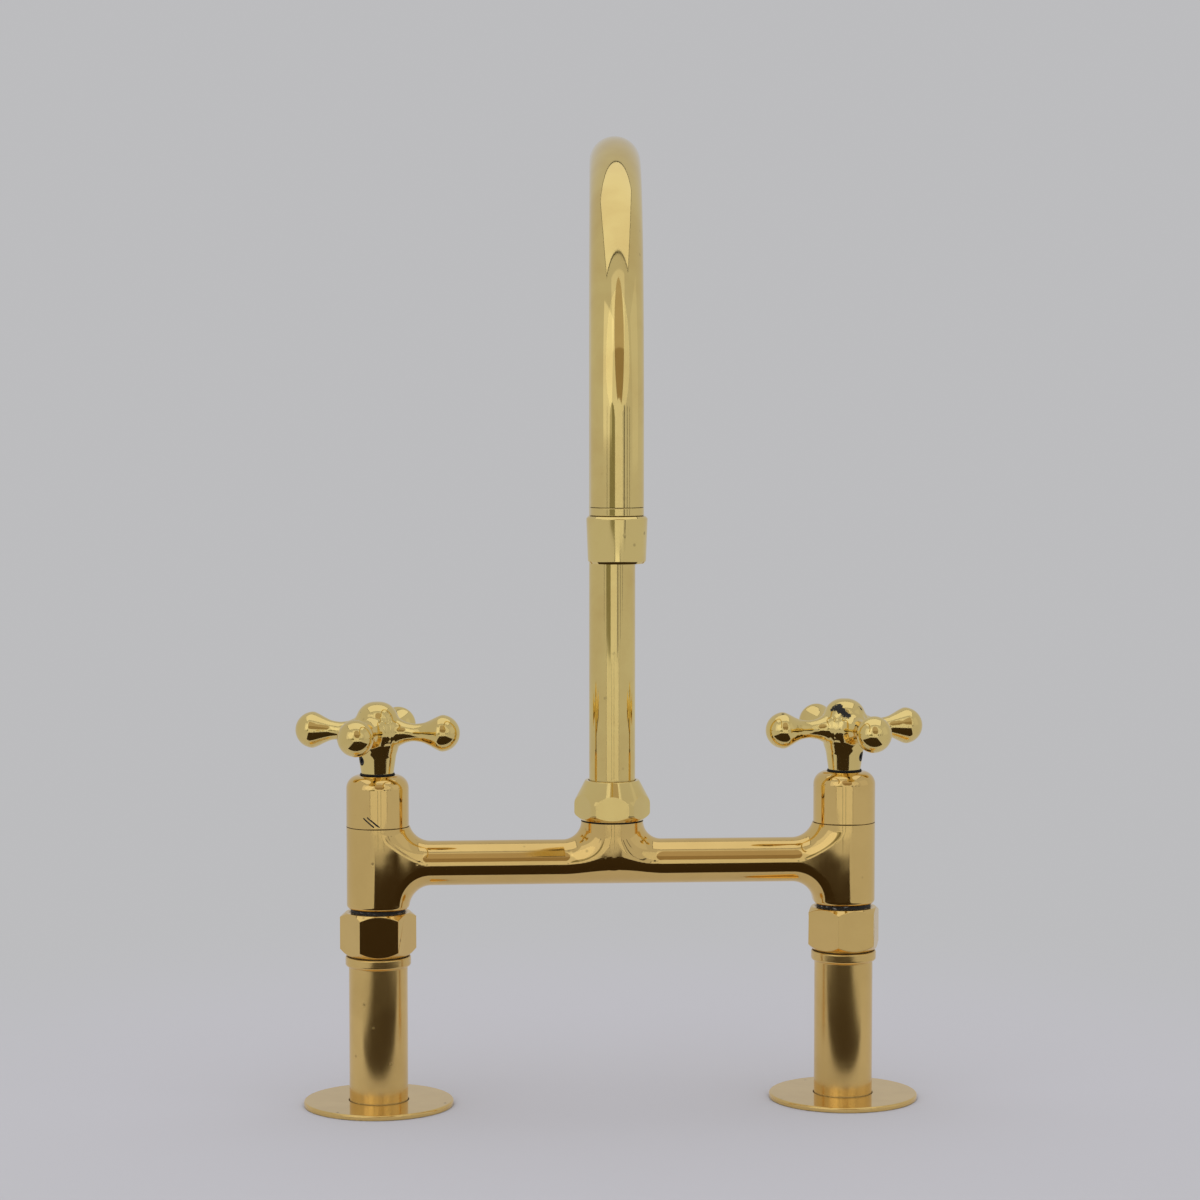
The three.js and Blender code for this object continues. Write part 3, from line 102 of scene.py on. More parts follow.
class FaucetSizes(bpy.types.PropertyGroup):
    """The sizes that give the faucet its look"""

    leg_spread: length_property("Leg spread", "From the middle of the faucet to a leg's axis", 0.1016)
    leg_radius: length_property("Leg radius", "Outside of the leg tube", 0.0127)
    collar_radius: length_property("Collar radius", "Outside of the collar on top of a leg", 0.01415)
    flange_radius: length_property("Flange radius", "Rim of the deck flange", 0.0325)
    flange_edge: length_property("Flange edge", "Rounding of the flange's upper edge", 0.0009)
    barrel_radius: length_property("Barrel radius", "Upright barrels at the ends of the bridge", 0.0135)
    bar_radius: length_property("Bar radius", "Round bar between the barrels", 0.00965)
    barrel_fillet: length_property("Barrel fillet", "Blend from the bar into a barrel", 0.0095)
    boss_fillet: length_property("Boss fillet", "Blend from the bar into the middle boss", 0.008)
    flare_edge: length_property("Flare edge", "Rounding of the bar's flares beside the barrels", 0.0078)
    boss_bowl: length_property("Boss bowl", "Widest height of the boss's bottom, over the bar's axis", 0.0032)
    bonnet_shoulder: length_property("Bonnet shoulder", "Rounding of a bonnet's upper edge", 0.0057)
    union_flats: length_property("Union nut flats", "Across the flats of a union nut", 0.0286)
    spout_flats: length_property("Spout nut flats", "Across the flats of the spout nut", 0.0296)
    tube_radius: length_property("Spout radius", "Outside of the gooseneck tube", 0.01)
    tube_wall: length_property("Spout wall", "Wall of the gooseneck tube", 0.0014)
    bend_radius: length_property("Bend radius", "Middle line of the gooseneck's bend", 0.1)
    bend_height: length_property("Bend height", "Where the riser passes into the bend", 0.3)
    arm_blend: length_property("Arm blend", "Fillet between a handle's arms and its dome", 0.0036)
    neck_blend: length_property("Neck blend", "Fillet between a handle's arms and its neck", 0.0065)
    spout_turn: angle_property("Spout turn", "Turn of the spout at rest", -3.9)
    left_handle_turn: angle_property("Left handle turn", "Turn of the left handle at rest", -18.4)
    right_handle_turn: angle_property("Right handle turn", "Turn of the right handle at rest", 16.7)
    left_nut_turn: angle_property("Left nut turn", "Turn of the left union nut", 1.1)
    right_nut_turn: angle_property("Right nut turn", "Turn of the right union nut", 13.7)
    casting_grain: length_property("Casting grain", "Face size on the bridge casting", 0.0005)
    handle_grain: length_property("Handle grain", "Face size on the handle castings", 0.00036)


class FaucetFinish(bpy.types.PropertyGroup):
    """Colours of the faucet's finishes"""

    brass: colour_property("Brass", "Polished brass of the spout and the handles", (0.92, 0.72, 0.28))
    warm_brass: colour_property("Warm brass", "Polished brass of bridge, nuts and legs", (0.87, 0.61, 0.225))
    tarnish: colour_property("Tarnish", "Where handling has dulled the brass", (0.72, 0.49, 0.17))
    machined: colour_property("Machined brass", "Threads and hidden turned pieces", (0.70, 0.50, 0.22))
    # Also the colour of the painted shade in crevices, and of the rings that paint the shade in the gaps
    # under the handles and the spout nut
    residue_and_shade: colour_property("Residue", "Polish left in gaps and pits", (0.015, 0.013, 0.011))
    tape: colour_property("Thread tape", "Tape wound on the union threads", (0.62, 0.61, 0.58))
    blackened: colour_property("Blackened steel", "Set screws", (0.02, 0.02, 0.022))
    steel: colour_property("Steel", "Stainless washers, clips and screws", (0.56, 0.57, 0.58))
    rubber: colour_property("Rubber", "Gaskets and washers", (0.018, 0.018, 0.019))
    ceramic: colour_property("Ceramic", "Discs of the cartridges", (0.80, 0.78, 0.72))
    acetal: colour_property("Acetal", "Slip bush under the spout", (0.76, 0.73, 0.64))
    plastic: colour_property("Plastic", "Core of the aerator", (0.020, 0.020, 0.022))
    floor: colour_property("Floor", "Pale floor under the faucet", (0.515, 0.508, 0.54))
    backdrop: colour_property("Backdrop", "Pale backdrop, and the floor far away", (0.505, 0.505, 0.517))


def sizes():
    return bpy.context.scene.faucet_sizes


def size_mm(name):
    """One of the faucet's sizes, mm."""
    return getattr(sizes(), name) / MM


def rest_turns(what, *offsets):
    """How far the left and the right piece of a pair are turned at rest."""
    return [getattr(sizes(), f"{side}_{what}_turn") + offset for (side, _), offset in zip(SIDES, offsets)]


def finish():
    return bpy.context.scene.faucet_finish


# ---- Modelling by hand --------------------------------------------------------------------------


def clear_selection():
    if bpy.context.mode != "OBJECT":
        bpy.ops.object.mode_set(mode="OBJECT")
    bpy.ops.object.select_all(action="DESELECT")


def pick(obj):
    clear_selection()
    obj.select_set(True)
    bpy.context.view_layer.objects.active = obj
    return obj


def added(primitive, **settings):
    """A new primitive, with nothing else selected."""
    clear_selection()
    primitive(**settings)
    return bpy.context.object


def named(obj, name):
    obj.name = obj.data.name = name
    return obj


def edit(obj):
    pick(obj)
    bpy.ops.object.mode_set(mode="EDIT")
    bpy.ops.mesh.select_mode(type="VERT")


def select_all(wanted=True):
    bpy.ops.mesh.select_all(action="SELECT" if wanted else "DESELECT")


def close_up(obj, smooth_angle=30):
    """Leaves edit mode with the place in the mesh and the shading smooth up to an angle."""
    pick(obj)
    bpy.ops.object.transform_apply(location=True, rotation=True, scale=True)
    bpy.ops.object.shade_smooth_by_angle(angle=math.radians(smooth_angle))
    return obj


def rounded(corners, step=math.radians(9)):
    """Points through corners (radius, height, rounding), with an arc in place of each rounded corner."""
    points = []
    for i, corner in enumerate(corners):
        here = Vector(corner[:2])
        rounding = corner[2] if len(corner) > 2 else 0
        if not rounding:
            points.append(here)
            continue
        before = (Vector(corners[i - 1][:2]) - here).normalized()
        after = (Vector(corners[(i + 1) % len(corners)][:2]) - here).normalized()
        half = before.angle(after) / 2
        centre = here + (before + after).normalized() * (rounding / math.sin(half))
        start = here + before * (rounding / math.tan(half)) - centre
        sweep = (math.pi - 2 * half) * (1 if before.cross(after) < 0 else -1)
        steps = max(2, math.ceil(abs(sweep) / step))
        points += [centre + Matrix.Rotation(sweep * k / steps, 2) @ start for k in range(steps + 1)]
    return points


def spun(name, points, steps=TURNED_STEPS):
    """Draws a profile of points (radius, height) vertex by vertex, and spins it about the upright axis."""
    points = [Vector((p[0], 0, p[1])) for p in points]
    if points[0].x > 0:
        points.append(points[0].copy())
    obj = named(added(bpy.ops.mesh.primitive_plane_add, size=MM, location=points[0]), name)
    edit(obj)
    select_all()
    bpy.ops.mesh.merge(type="CENTER")
    for start, end in zip(points, points[1:]):
        bpy.ops.mesh.extrude_region_move(TRANSFORM_OT_translate={"value": end - start})
    select_all()
    bpy.ops.mesh.spin(steps=steps, angle=math.tau, center=(0, 0, 0), axis=(0, 0, 1))
    select_all()
    bpy.ops.mesh.remove_doubles(threshold=1e-6)
    bpy.ops.mesh.normals_make_consistent(inside=False)
    return close_up(obj)


def in_metres(corners):
    return [[value * MM for value in corner] for corner in corners]


def turned(name, corners, steps=TURNED_STEPS):
    """A turned piece from corners (radius, height, rounding) in mm."""
    return spun(name, rounded(in_metres(corners)), steps)


def stepped_drill(name, foot, radius, step, wide_radius, top):
    """A drill that widens at a step, mm."""
    corners = [(0, foot), (radius, foot), (radius, step), (wide_radius, step), (wide_radius, top), (0, top)]
    return turned(name, corners, steps=48)


def lying_rod(vertices, radius, length, place):
    """A rod along X, mm."""
    rod = added(
        bpy.ops.mesh.primitive_cylinder_add, vertices=vertices, radius=radius * MM, depth=length * MM,
        location=Vector(place) * MM, rotation=(0, math.pi / 2, 0),
    )
    return close_up(rod)


def flats(obj, across, edge=0.25 * MM):
    """Cuts six flats round a turned piece and breaks their edges."""
    apart, start = math.tau / 6, math.radians(30)
    edit(obj)
    for k in range(6):
        angle = start + apart * k
        way = Vector((math.cos(angle), math.sin(angle), 0))
        select_all()
        bpy.ops.mesh.bisect(plane_co=way * across / 2, plane_no=way, use_fill=True, clear_outer=True)
    bpy.ops.mesh.select_mode(type="EDGE")
    select_all(False)
    mesh = bmesh.from_edit_mesh(obj.data)

    def is_flat(face):
        normal, centre = face.normal, face.calc_center_median()
        off = math.remainder(math.atan2(normal.y, normal.x) - start, apart)
        reach = centre.x * normal.x + centre.y * normal.y
        return max(abs(off), abs(normal.z)) < 1e-3 and abs(reach - across / 2) < 1e-5

    flat_faces = {face for face in mesh.faces if is_flat(face)}
    for border in mesh.edges:
        beside_flat = any(face in flat_faces for face in border.link_faces)
        border.select_set(beside_flat and border.calc_face_angle(0) > math.radians(7))
    bmesh.update_edit_mesh(obj.data)
    bpy.ops.mesh.bevel(offset=edge, segments=3, affect="EDGES", clamp_overlap=True)
    return close_up(obj, 24)


def set_in_place(master, name, x=0.0, y=0.0, z=0.0, turn=0.0):
    """A copy of a piece with its own mesh, turned and moved, with its place in the mesh."""
    pick(master)
    bpy.ops.object.duplicate(linked=False)
    copy = named(bpy.context.object, name)
    copy.rotation_euler = (0, 0, turn)
    copy.location = (x, y, z)
    bpy.ops.object.transform_apply(location=True, rotation=True, scale=True)
    return copy


def scrap(obj):
    mesh = obj.data
    bpy.data.objects.remove(obj)
    bpy.data.meshes.remove(mesh)


def join(name, pieces):
    clear_selection()
    for piece in pieces:
        piece.select_set(True)
    bpy.context.view_layer.objects.active = pieces[0]
    bpy.ops.object.join()
    return named(bpy.context.object, name)


def cut(obj, tool):
    pick(obj)
    modifier = obj.modifiers.new("cut", "BOOLEAN")
    modifier.object = tool
    modifier.operation = "DIFFERENCE"
    modifier.solver = "EXACT"
    bpy.ops.object.modifier_apply(modifier=modifier.name)
    scrap(tool)


def slice_off(obj, height, above=True):
    """Cuts a piece level at a height and closes the cut."""
    edit(obj)
    select_all()
    bpy.ops.mesh.bisect(
        plane_co=(0, 0, height), plane_no=(0, 0, 1), use_fill=True, clear_outer=above, clear_inner=not above
    )
    bpy.ops.object.mode_set(mode="OBJECT")


def finished(obj, body, material, slot, *nodes):
    """Gives a piece its material, its body and the CAD nodes that it stands for."""
    if not obj.data.has_custom_normals:
        pick(obj)
        even = obj.modifiers.new("even normals", "WEIGHTED_NORMAL")
        even.keep_sharp = True
        bpy.ops.object.modifier_apply(modifier=even.name)
    obj.data.materials.clear()
    obj.data.materials.append(material)
    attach(obj, body)
    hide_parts(*nodes)
    return obj


def set_pair(master, name, body, materials, slot, *nodes, z=0.0, turns=(0.0, 0.0)):
    """Sets a copy of a piece on each side and finishes it; %s in a body or a node stands for the side."""
    for (side, sign), turn in zip(SIDES, turns):
        placed = set_in_place(master, f"{side}_{name}", sign * sizes().leg_spread, z=z, turn=turn)
        material = materials[side] if isinstance(materials, dict) else materials
        of_side = [text.replace("%s", side) for text in (body, *nodes)]
        finished(placed, of_side[0], material, slot, *of_side[1:])
    scrap(master)


def vertex_places(obj):
    places = np.empty(3 * len(obj.data.vertices))
    obj.data.vertices.foreach_get("co", places)
    return places.reshape(-1, 3)


def put_vertices(obj, places):
    obj.data.vertices.foreach_set("co", places.ravel())
    obj.data.update()


def reach_and_turn(places):
    """How far places lie from the upright axis, and their angle about it."""
    return np.hypot(places[:, 0], places[:, 1]), np.arctan2(places[:, 1], places[:, 0])


def cut_thread(obj, radius, depth, pitch, start, end):
    """Presses a helical thread into the finely ringed wall of a turned piece, mm."""
    places = vertex_places(obj) / MM
    height = places[:, 2]
    reach, around = reach_and_turn(places)
    on_wall = (abs(reach - radius) < 0.02) & (height > start) & (height < end)
    phase = (height / pitch - around / math.tau) % 1.0
    valley = np.clip(1.25 * (1 - 2 * abs(phase - 0.5)) - 0.12, 0, 1)
    fade = np.clip(np.minimum(height - start, end - height) / pitch, 0, 1)
    places[:, :2] *= np.where(on_wall, 1 - depth * valley * fade / radius, 1)[:, None]
    put_vertices(obj, places * MM)


def crumple(obj, inner, waves):
    """Waves a wall outside a radius; each wave has a share, turns round and up the piece, and a start."""
    places = vertex_places(obj)
    reach, around = reach_and_turn(places)
    height = places[:, 2] / MM
    swell = sum(share * np.sin(turns * around + rise * height + start) for share, turns, rise, start in waves)
    places[:, :2] *= np.where(reach > inner * MM, 1 + swell, 1)[:, None]
    put_vertices(obj, places)


def ringed(radius, foot, top, rings):
    """Corners at even steps up a wall."""
    return [(radius, foot + (top - foot) * i / rings) for i in range(rings + 1)]


# ---- Castings: forms known by their distance --------------------------------------------------------


def exact_distance(spot, profile):
    """Distance of places (radius, height) outside a turned profile, and the way out of it."""
    nearest = np.full(len(spot), np.inf)
    out = np.zeros_like(spot)
    inside = np.zeros(len(spot), bool)
    for start, end in zip(profile[:-1], profile[1:]):
        along = end - start
        share = np.clip((spot - start) @ along / (along @ along), 0, 1)
        apart = spot - start - share[:, None] * along
        gap = np.hypot(apart[:, 0], apart[:, 1])
        side = np.array([along[1], -along[0]]) / np.hypot(*along)
        closer = gap < nearest
        nearest[closer] = gap[closer]
        out[closer] = np.where(gap[:, None] > 1e-8, apart / np.maximum(gap, 1e-9)[:, None], side)[closer]
        crosses = (start[1] > spot[:, 1]) != (end[1] > spot[:, 1])
        if along[1]:
            inside ^= crosses & (spot[:, 0] < start[0] + (spot[:, 1] - start[1]) * along[0] / along[1])
    out[inside & (nearest > 1e-8)] *= -1
    return np.where(inside, -nearest, nearest), out


def unit(ways):
    return ways / np.maximum(np.linalg.norm(ways, axis=1), 0.2)[:, None]


class DistanceTable:
    """The distance outside an outline and the way out of it, read from a fine table."""

    def __init__(self, outline, room=9 * MM, grid=0.1 * MM):
        self.grid = grid
        self.low = outline.min(axis=0) - room
        self.cells = np.ceil((outline.max(axis=0) + room - self.low) / grid).astype(int)
        across, up = np.meshgrid(*(np.arange(n + 1) * grid for n in self.cells), indexing="ij")
        distance, way = exact_distance(np.stack([across.ravel(), up.ravel()], axis=1) + self.low, outline)
        self.table = np.concatenate([distance[:, None], way], axis=1).reshape(*across.shape, 3)

    def __call__(self, spots):
        spots = np.clip((spots - self.low) / self.grid, 0, self.cells - 1e-6)
        cell = spots.astype(int)
        i, j = cell.T
        s, t = np.split(spots - cell, 2, axis=1)
        near = self.table[i, j] * (1 - t) + self.table[i, j + 1] * t
        far = self.table[i + 1, j] * (1 - t) + self.table[i + 1, j + 1] * t
        read = near * (1 - s) + far * s
        return read[:, 0], read[:, 1:]


def turned_form(profile):
    """A solid turned about Z, as a function that gives its distance and the way out of it."""
    table = DistanceTable(profile)

    def form(places):
        reach = np.hypot(places[:, 0], places[:, 1])
        distance, way = table(np.stack([reach, places[:, 2]], axis=1))
        level = places[:, :2] / np.maximum(reach, 1e-9)[:, None]
        return distance, unit(np.concatenate([level * way[:, :1], way[:, 1:]], axis=1))

    return form


def rounded_overlap(first, second, radius):
    """What lies inside both forms, with this rounding on the edge between them."""
    p, q = first[0] + radius, second[0] + radius
    reach = np.hypot(np.maximum(p, 0), np.maximum(q, 0))
    edge = np.maximum(reach, 1e-12)
    on_first = np.where(reach > 0, np.maximum(p, 0) / edge, p > q)[:, None]
    on_second = np.where(reach > 0, np.maximum(q, 0) / edge, p <= q)[:, None]
    distance = reach + np.minimum(np.maximum(p, q), 0) - radius
    return distance, unit(on_first * first[1] + on_second * second[1])


def blended(first, second, radius):
    """Two forms as one, with the fillet that a ball of this radius leaves where they meet."""
    distance = np.minimum(first[0], second[0])
    way = np.where((first[0] < second[0])[:, None], first[1], second[1])
    radius = np.broadcast_to(radius, distance.shape)
    cosine = np.clip((first[1] * second[1]).sum(axis=1), -0.999, 0.999)
    a, b = radius - first[0], radius - second[0]
    spread = 1 - cosine**2
    on_first, on_second = (a - cosine * b) / spread, (b - cosine * a) / spread
    soft = (on_first > 0) & (on_second > 0) & (a > 0) & (b > 0)
    pull = on_first[:, None] * first[1] + on_second[:, None] * second[1]
    reach = np.maximum(np.linalg.norm(pull, axis=1), 1e-12)
    return np.where(soft, radius - reach, distance), np.where(soft[:, None], pull / reach[:, None], way)


def drawn(places, form, times):
    """Places drawn onto a form, over and over."""
    for _ in range(times):
        distance, way = form(places)
        places = places - distance[:, None] * way
    return places


def settle(obj, form):
    """Draws a remeshed casting onto its exact form, evening out its faces on the way."""
    edges = np.empty(2 * len(obj.data.edges), np.int64)
    obj.data.edges.foreach_get("vertices", edges)
    near, far = edges.reshape(-1, 2).T
    places = vertex_places(obj)
    count = np.bincount(edges, minlength=len(places))[:, None]
    for _ in range(3):
        places = drawn(places, form, 2)
        total = [
            np.bincount(near, places[far, k], len(places)) + np.bincount(far, places[near, k], len(places))
            for k in range(3)
        ]
        places += 0.6 * (np.stack(total, axis=1) / count - places)
    put_vertices(obj, drawn(places, form, 5))


def lay_normals(obj, form):
    """Gives the faces that lie on a form its exact normals, so that reflections run smoothly over them."""
    mesh = obj.data
    places, step = vertex_places(obj), 0.15 * MM
    slopes = [form(places + step * axis)[0] - form(places - step * axis)[0] for axis in np.eye(3)]
    slopes = np.stack(slopes, axis=1)
    slopes /= np.maximum(np.linalg.norm(slopes, axis=1), 1e-12)[:, None]
    close = abs(form(places)[0]) < 0.01 * MM
    normals, flat = np.empty(3 * len(mesh.loops)), np.empty(3 * len(mesh.polygons))
    corners, turns = np.empty(len(mesh.loops), np.int64), np.empty(len(mesh.polygons), np.int64)
    mesh.corner_normals.foreach_get("vector", normals)
    mesh.polygons.foreach_get("normal", flat)
    mesh.polygons.foreach_get("loop_total", turns)
    mesh.loops.foreach_get("vertex_index", corners)
    flat = np.repeat(flat.reshape(-1, 3), turns, axis=0)
    on_form = close[corners] & ((flat * slopes[corners]).sum(axis=1) > 0.93)
    normals = np.where(on_form[:, None], slopes[corners], normals.reshape(-1, 3))
    mesh.normals_split_custom_set(normals.tolist())


def cast(name, pieces, grain, form):
    """Melts overlapping pieces into one casting on an exact form."""
    casting = join(name, pieces)
    casting.data.remesh_voxel_size = grain * 1
    casting.data.remesh_voxel_adaptivity = 0
    pick(casting)
    bpy.ops.object.voxel_remesh()
    settle(casting, form)
    return casting


def smooth_line(knots, step):
    """A smooth line through knots, as many short steps."""
    knots = np.array(knots, float)
    padded = np.concatenate([[2 * knots[0] - knots[1]], knots, [2 * knots[-1] - knots[-2]]])
    line = []
    for i in range(len(knots) - 1):
        a, b, c, d = padded[i : i + 4]
        pieces = max(2, math.ceil(np.linalg.norm(c - b) / step))
        for t in np.arange(pieces) / pieces:
            bend, twist = 2 * a - 5 * b + 4 * c - d, 3 * b - a - 3 * c + d
            line.append(0.5 * (2 * b + (c - a) * t + bend * t**2 + twist * t**3))
    return np.array([*line, knots[-1]])


# ---- Materials -------------------------------------------------------------------------------------


def rgba(colour):
    return (*colour, 1)


class Shading:
    """A node tree, with short ways to add the nodes that the finishes need."""

    def __init__(self, tree):
        self.tree = tree

    def add(self, kind, inputs=(), **settings):
        """Adds a node, feeds its inputs with values or other nodes' outputs, and gives its own outputs."""
        made = self.tree.nodes.new(f"ShaderNode{kind}")
        for key, value in settings.items():
            setattr(made, key, value)
        for key, value in dict(inputs).items():
            if isinstance(value, bpy.types.NodeSocket):
                self.tree.links.new(value, made.inputs[key])
            else:
                made.inputs[key].default_value = value
        return made.outputs

    def reckon(self, operation, *values, clamp=False):
        return self.add("Math", enumerate(values), operation=operation, use_clamp=clamp)[0]

    plus = partialmethod(reckon, "ADD")
    minus = partialmethod(reckon, "SUBTRACT")
    times = partialmethod(reckon, "MULTIPLY")

    def vectors(self, operation, *values):
        return self.add("VectorMath", enumerate(values), operation=operation)

    def place(self):
        return self.add("TexCoord")["Object"]

    def ramp(self, value, low, high, kind="LINEAR"):
        """0 below low, 1 above high."""
        inputs = {"Value": value, "From Min": low, "From Max": high}
        return self.add("MapRange", inputs, clamp=True, interpolation_type=kind)["Result"]

    def mixed(self, factor, first, second):
        return self.add("Mix", {"Factor": factor, "A": first, "B": second}, data_type="RGBA")["Result"]

    def noise(self, vector, scale, detail, roughness, distortion=0.0):
        inputs = {"Vector": vector, "Scale": scale, "Detail": detail, "Roughness": roughness}
        return self.add("TexNoise", {**inputs, "Distortion": distortion})["Fac"]

    def surface(self, inputs, height, depth):
        """Ends a material with a surface that a height raises by up to this depth."""
        normal = self.add("Bump", {"Distance": depth, "Strength": 1.0, "Height": height})["Normal"]
        self.add("OutputMaterial", {"Surface": self.add("BsdfPrincipled", {**inputs, "Normal": normal})[0]})


def new_material(name):
    material = bpy.data.materials.new(name)
    material.use_nodes = True
    material.node_tree.nodes.clear()
    return material, Shading(material.node_tree)


def node_group(wire, inputs, outputs):
    """A group named after the function that wires it on its first use; each socket is given with its kind."""
    name = wire.__name__
    if name in bpy.data.node_groups:
        return bpy.data.node_groups[name]
    group = bpy.data.node_groups.new(name, "ShaderNodeTree")
    for way, sockets in (("INPUT", inputs), ("OUTPUT", outputs)):
        for label, kind in sockets.items():
            group.interface.new_socket(label, in_out=way, socket_type=f"NodeSocket{kind}")
    given = group.nodes.new("NodeGroupInput").outputs
    result = group.nodes.new("NodeGroupOutput").inputs
    for label, value in wire(Shading(group), given).items():
        group.links.new(value, result[label])
    return group


def polish_wear(shade, given):
    """Hand polish: tone, dull patches, fine streaks, pits and residue, on Object coordinates."""
    place = shade.place()
    cloudy = shade.times(shade.noise(place, 160, 4, 0.6), 0.35)
    dull = shade.ramp(shade.plus(shade.noise(place, 38, 3, 0.55, 0.4), cloudy), 0.52, 0.86)
    dull = shade.times(dull, given["Tarnish"], clamp=True)
    streaks = shade.noise(shade.vectors("MULTIPLY", place, given["Streaks"])[0], 1.0, 3, 0.65)
    cells = shade.add("TexVoronoi", {"Vector": place, "Scale": 260})
    rare = shade.ramp(shade.add("SeparateColor", {0: cells["Color"]})[0], 0.955, 0.99)
    spot = shade.minus(1.0, shade.ramp(cells["Distance"], 0.08, 0.24))
    pits = shade.times(shade.times(rare, spot), given["Pits"], clamp=True)
    tone = shade.mixed(dull, given["Clean"], given["Tarnished"])
    rough = shade.plus(given["Smoothness"], shade.times(dull, 0.08))
    rough = shade.plus(rough, shade.times(streaks, 0.03))
    waves = shade.times(shade.noise(place, 70, 1, 0.4), 0.9)
    return {
        "Color": shade.mixed(pits, tone, given["Residue"]),
        "Roughness": shade.plus(rough, shade.times(pits, 0.5), clamp=True),
        "Height": shade.minus(shade.plus(waves, shade.times(streaks, 0.012)), shade.times(pits, 0.6)),
    }


WEAR_INPUTS = {
    "Clean": "Color", "Tarnished": "Color", "Residue": "Color",
    "Tarnish": "Float", "Pits": "Float", "Smoothness": "Float", "Streaks": "Vector",
}
WEAR_OUTPUTS = {"Color": "Color", "Roughness": "Float", "Height": "Float"}
# How far the ambient occlusion reaches, and how strongly the painted crevice shade darkens the brass
CREVICE_REACH, CREVICE_SHADE_AND_GRIME = 2 * MM, 0.8


def crevice_shade_and_grime(shade, given):
    """Painted shade with some grime, read from ambient occlusion: most in narrow gaps and inner corners where
    shade falls, 0 on open faces.
    """
    shut = shade.add("AmbientOcclusion", {"Distance": CREVICE_REACH}, samples=8)["AO"]
    mask = shade.minus(1.0, shade.ramp(shut, 0.3, 0.7))
    patchy = shade.ramp(shade.noise(shade.place(), 420, 3, 0.6), 0.25, 0.5)
    return {"Mask": shade.times(shade.times(mask, patchy), CREVICE_SHADE_AND_GRIME, clamp=True)}


def marked_line(shade, given):
    """A mark along a line: 1 within its width, broken up by noise."""
    place = shade.place()
    from_start = shade.vectors("SUBTRACT", place, given["Start"])[0]
    line = shade.vectors("SUBTRACT", given["End"], given["Start"])[0]
    along, length = (shade.vectors("DOT_PRODUCT", other, line)["Value"] for other in (from_start, line))
    share = shade.reckon("DIVIDE", along, length, clamp=True)
    reached = shade.add("VectorMath", {0: line, "Scale": share}, operation="SCALE")[0]
    away = shade.vectors("LENGTH", shade.vectors("SUBTRACT", from_start, reached)[0])["Value"]
    near = shade.minus(1.0, shade.reckon("DIVIDE", away, given["Width"]), clamp=True)
    level = shade.plus(shade.times(near, 0.5), shade.noise(place, 900, 5, 0.7))
    level = shade.plus(level, shade.minus(given["Cover"], 1.0))
    return {"Mask": shade.times(shade.ramp(level, 0.22, 0.3), shade.ramp(near, 0.0, 0.12))}


MARK_INPUTS = {"Start": "Vector", "End": "Vector", "Width": "Float", "Cover": "Float"}
MASK = {"Mask": "Float"}


def brass_material(
    name, tarnish=0.35, pits=0.4, smoothness=0.035, streaks=(520, 520, 70), waviness=0.05, marks=(), warm=True
):
    """Polished brass, streaked along the way it was buffed; marks are (start, end, width, cover) in mm."""
    if name in bpy.data.materials:
        return bpy.data.materials[name]
    material, shade = new_material(name)
    residue_and_shade = rgba(finish().residue_and_shade)
    inputs = {
        "Clean": rgba(finish().warm_brass if warm else finish().brass),
        "Tarnished": rgba(finish().tarnish), "Residue": residue_and_shade,
        "Tarnish": tarnish, "Pits": pits, "Smoothness": smoothness, "Streaks": streaks,
    }
    wear = shade.add("Group", inputs.items(), node_tree=node_group(polish_wear, WEAR_INPUTS, WEAR_OUTPUTS))
    # Painted shade with some grime in the crevices, and the real marks, darken the brass toward the residue
    # colour and dull it
    shade_and_dirt, height = shade.add("Group", node_tree=node_group(crevice_shade_and_grime, {}, MASK))["Mask"], wear["Height"]
    for start, end, width, cover in marks:
        start, end = in_metres((start, end))
        inputs = {"Start": start, "End": end, "Width": width * MM, "Cover": cover}
        mark = shade.add("Group", inputs, node_tree=node_group(marked_line, MARK_INPUTS, MASK))["Mask"]
        shade_and_dirt = shade.reckon("MAXIMUM", shade_and_dirt, mark)
        height = shade.minus(height, shade.times(mark, 1.5))
    inputs = {
        "Base Color": shade.mixed(shade_and_dirt, wear["Color"], residue_and_shade),
        "Roughness": shade.plus(wear["Roughness"], shade.times(shade_and_dirt, 0.6), clamp=True),
        "Metallic": shade.minus(1.0, shade.times(shade_and_dirt, 0.85)),
    }
    shade.surface(inputs, height, waviness * MM)
    return material


PLAIN_FINISHES = {  # colour, roughness, metallic, grain, its depth in mm and the colour's variation
    "machined_brass": ("machined", 0.32, 1, 900, 0.01, 0.18),
    "stainless_steel": ("steel", 0.34, 1, 700, 0.01, 0.18),
    "black_rubber": ("rubber", 0.8, 0, 900, 0.05, 0.18),
    "lapped_ceramic": ("ceramic", 0.3, 0, 1500, 0.005, 0.05),
    "pale_acetal": ("acetal", 0.5, 0, 1100, 0.01, 0.08),
    "black_plastic": ("plastic", 0.5, 0, 1300, 0.02, 0.18),
    "blackened_steel": ("blackened", 0.6, 0, 900, 0.01, 0.18),
    # near black, for the rings that paint the shade in the gaps under the handles and under the spout nut,
    # along with grease and paste
    "shade_and_old_polish": ("residue_and_shade", 0.95, 0, 900, 0.05, 0.18),
}


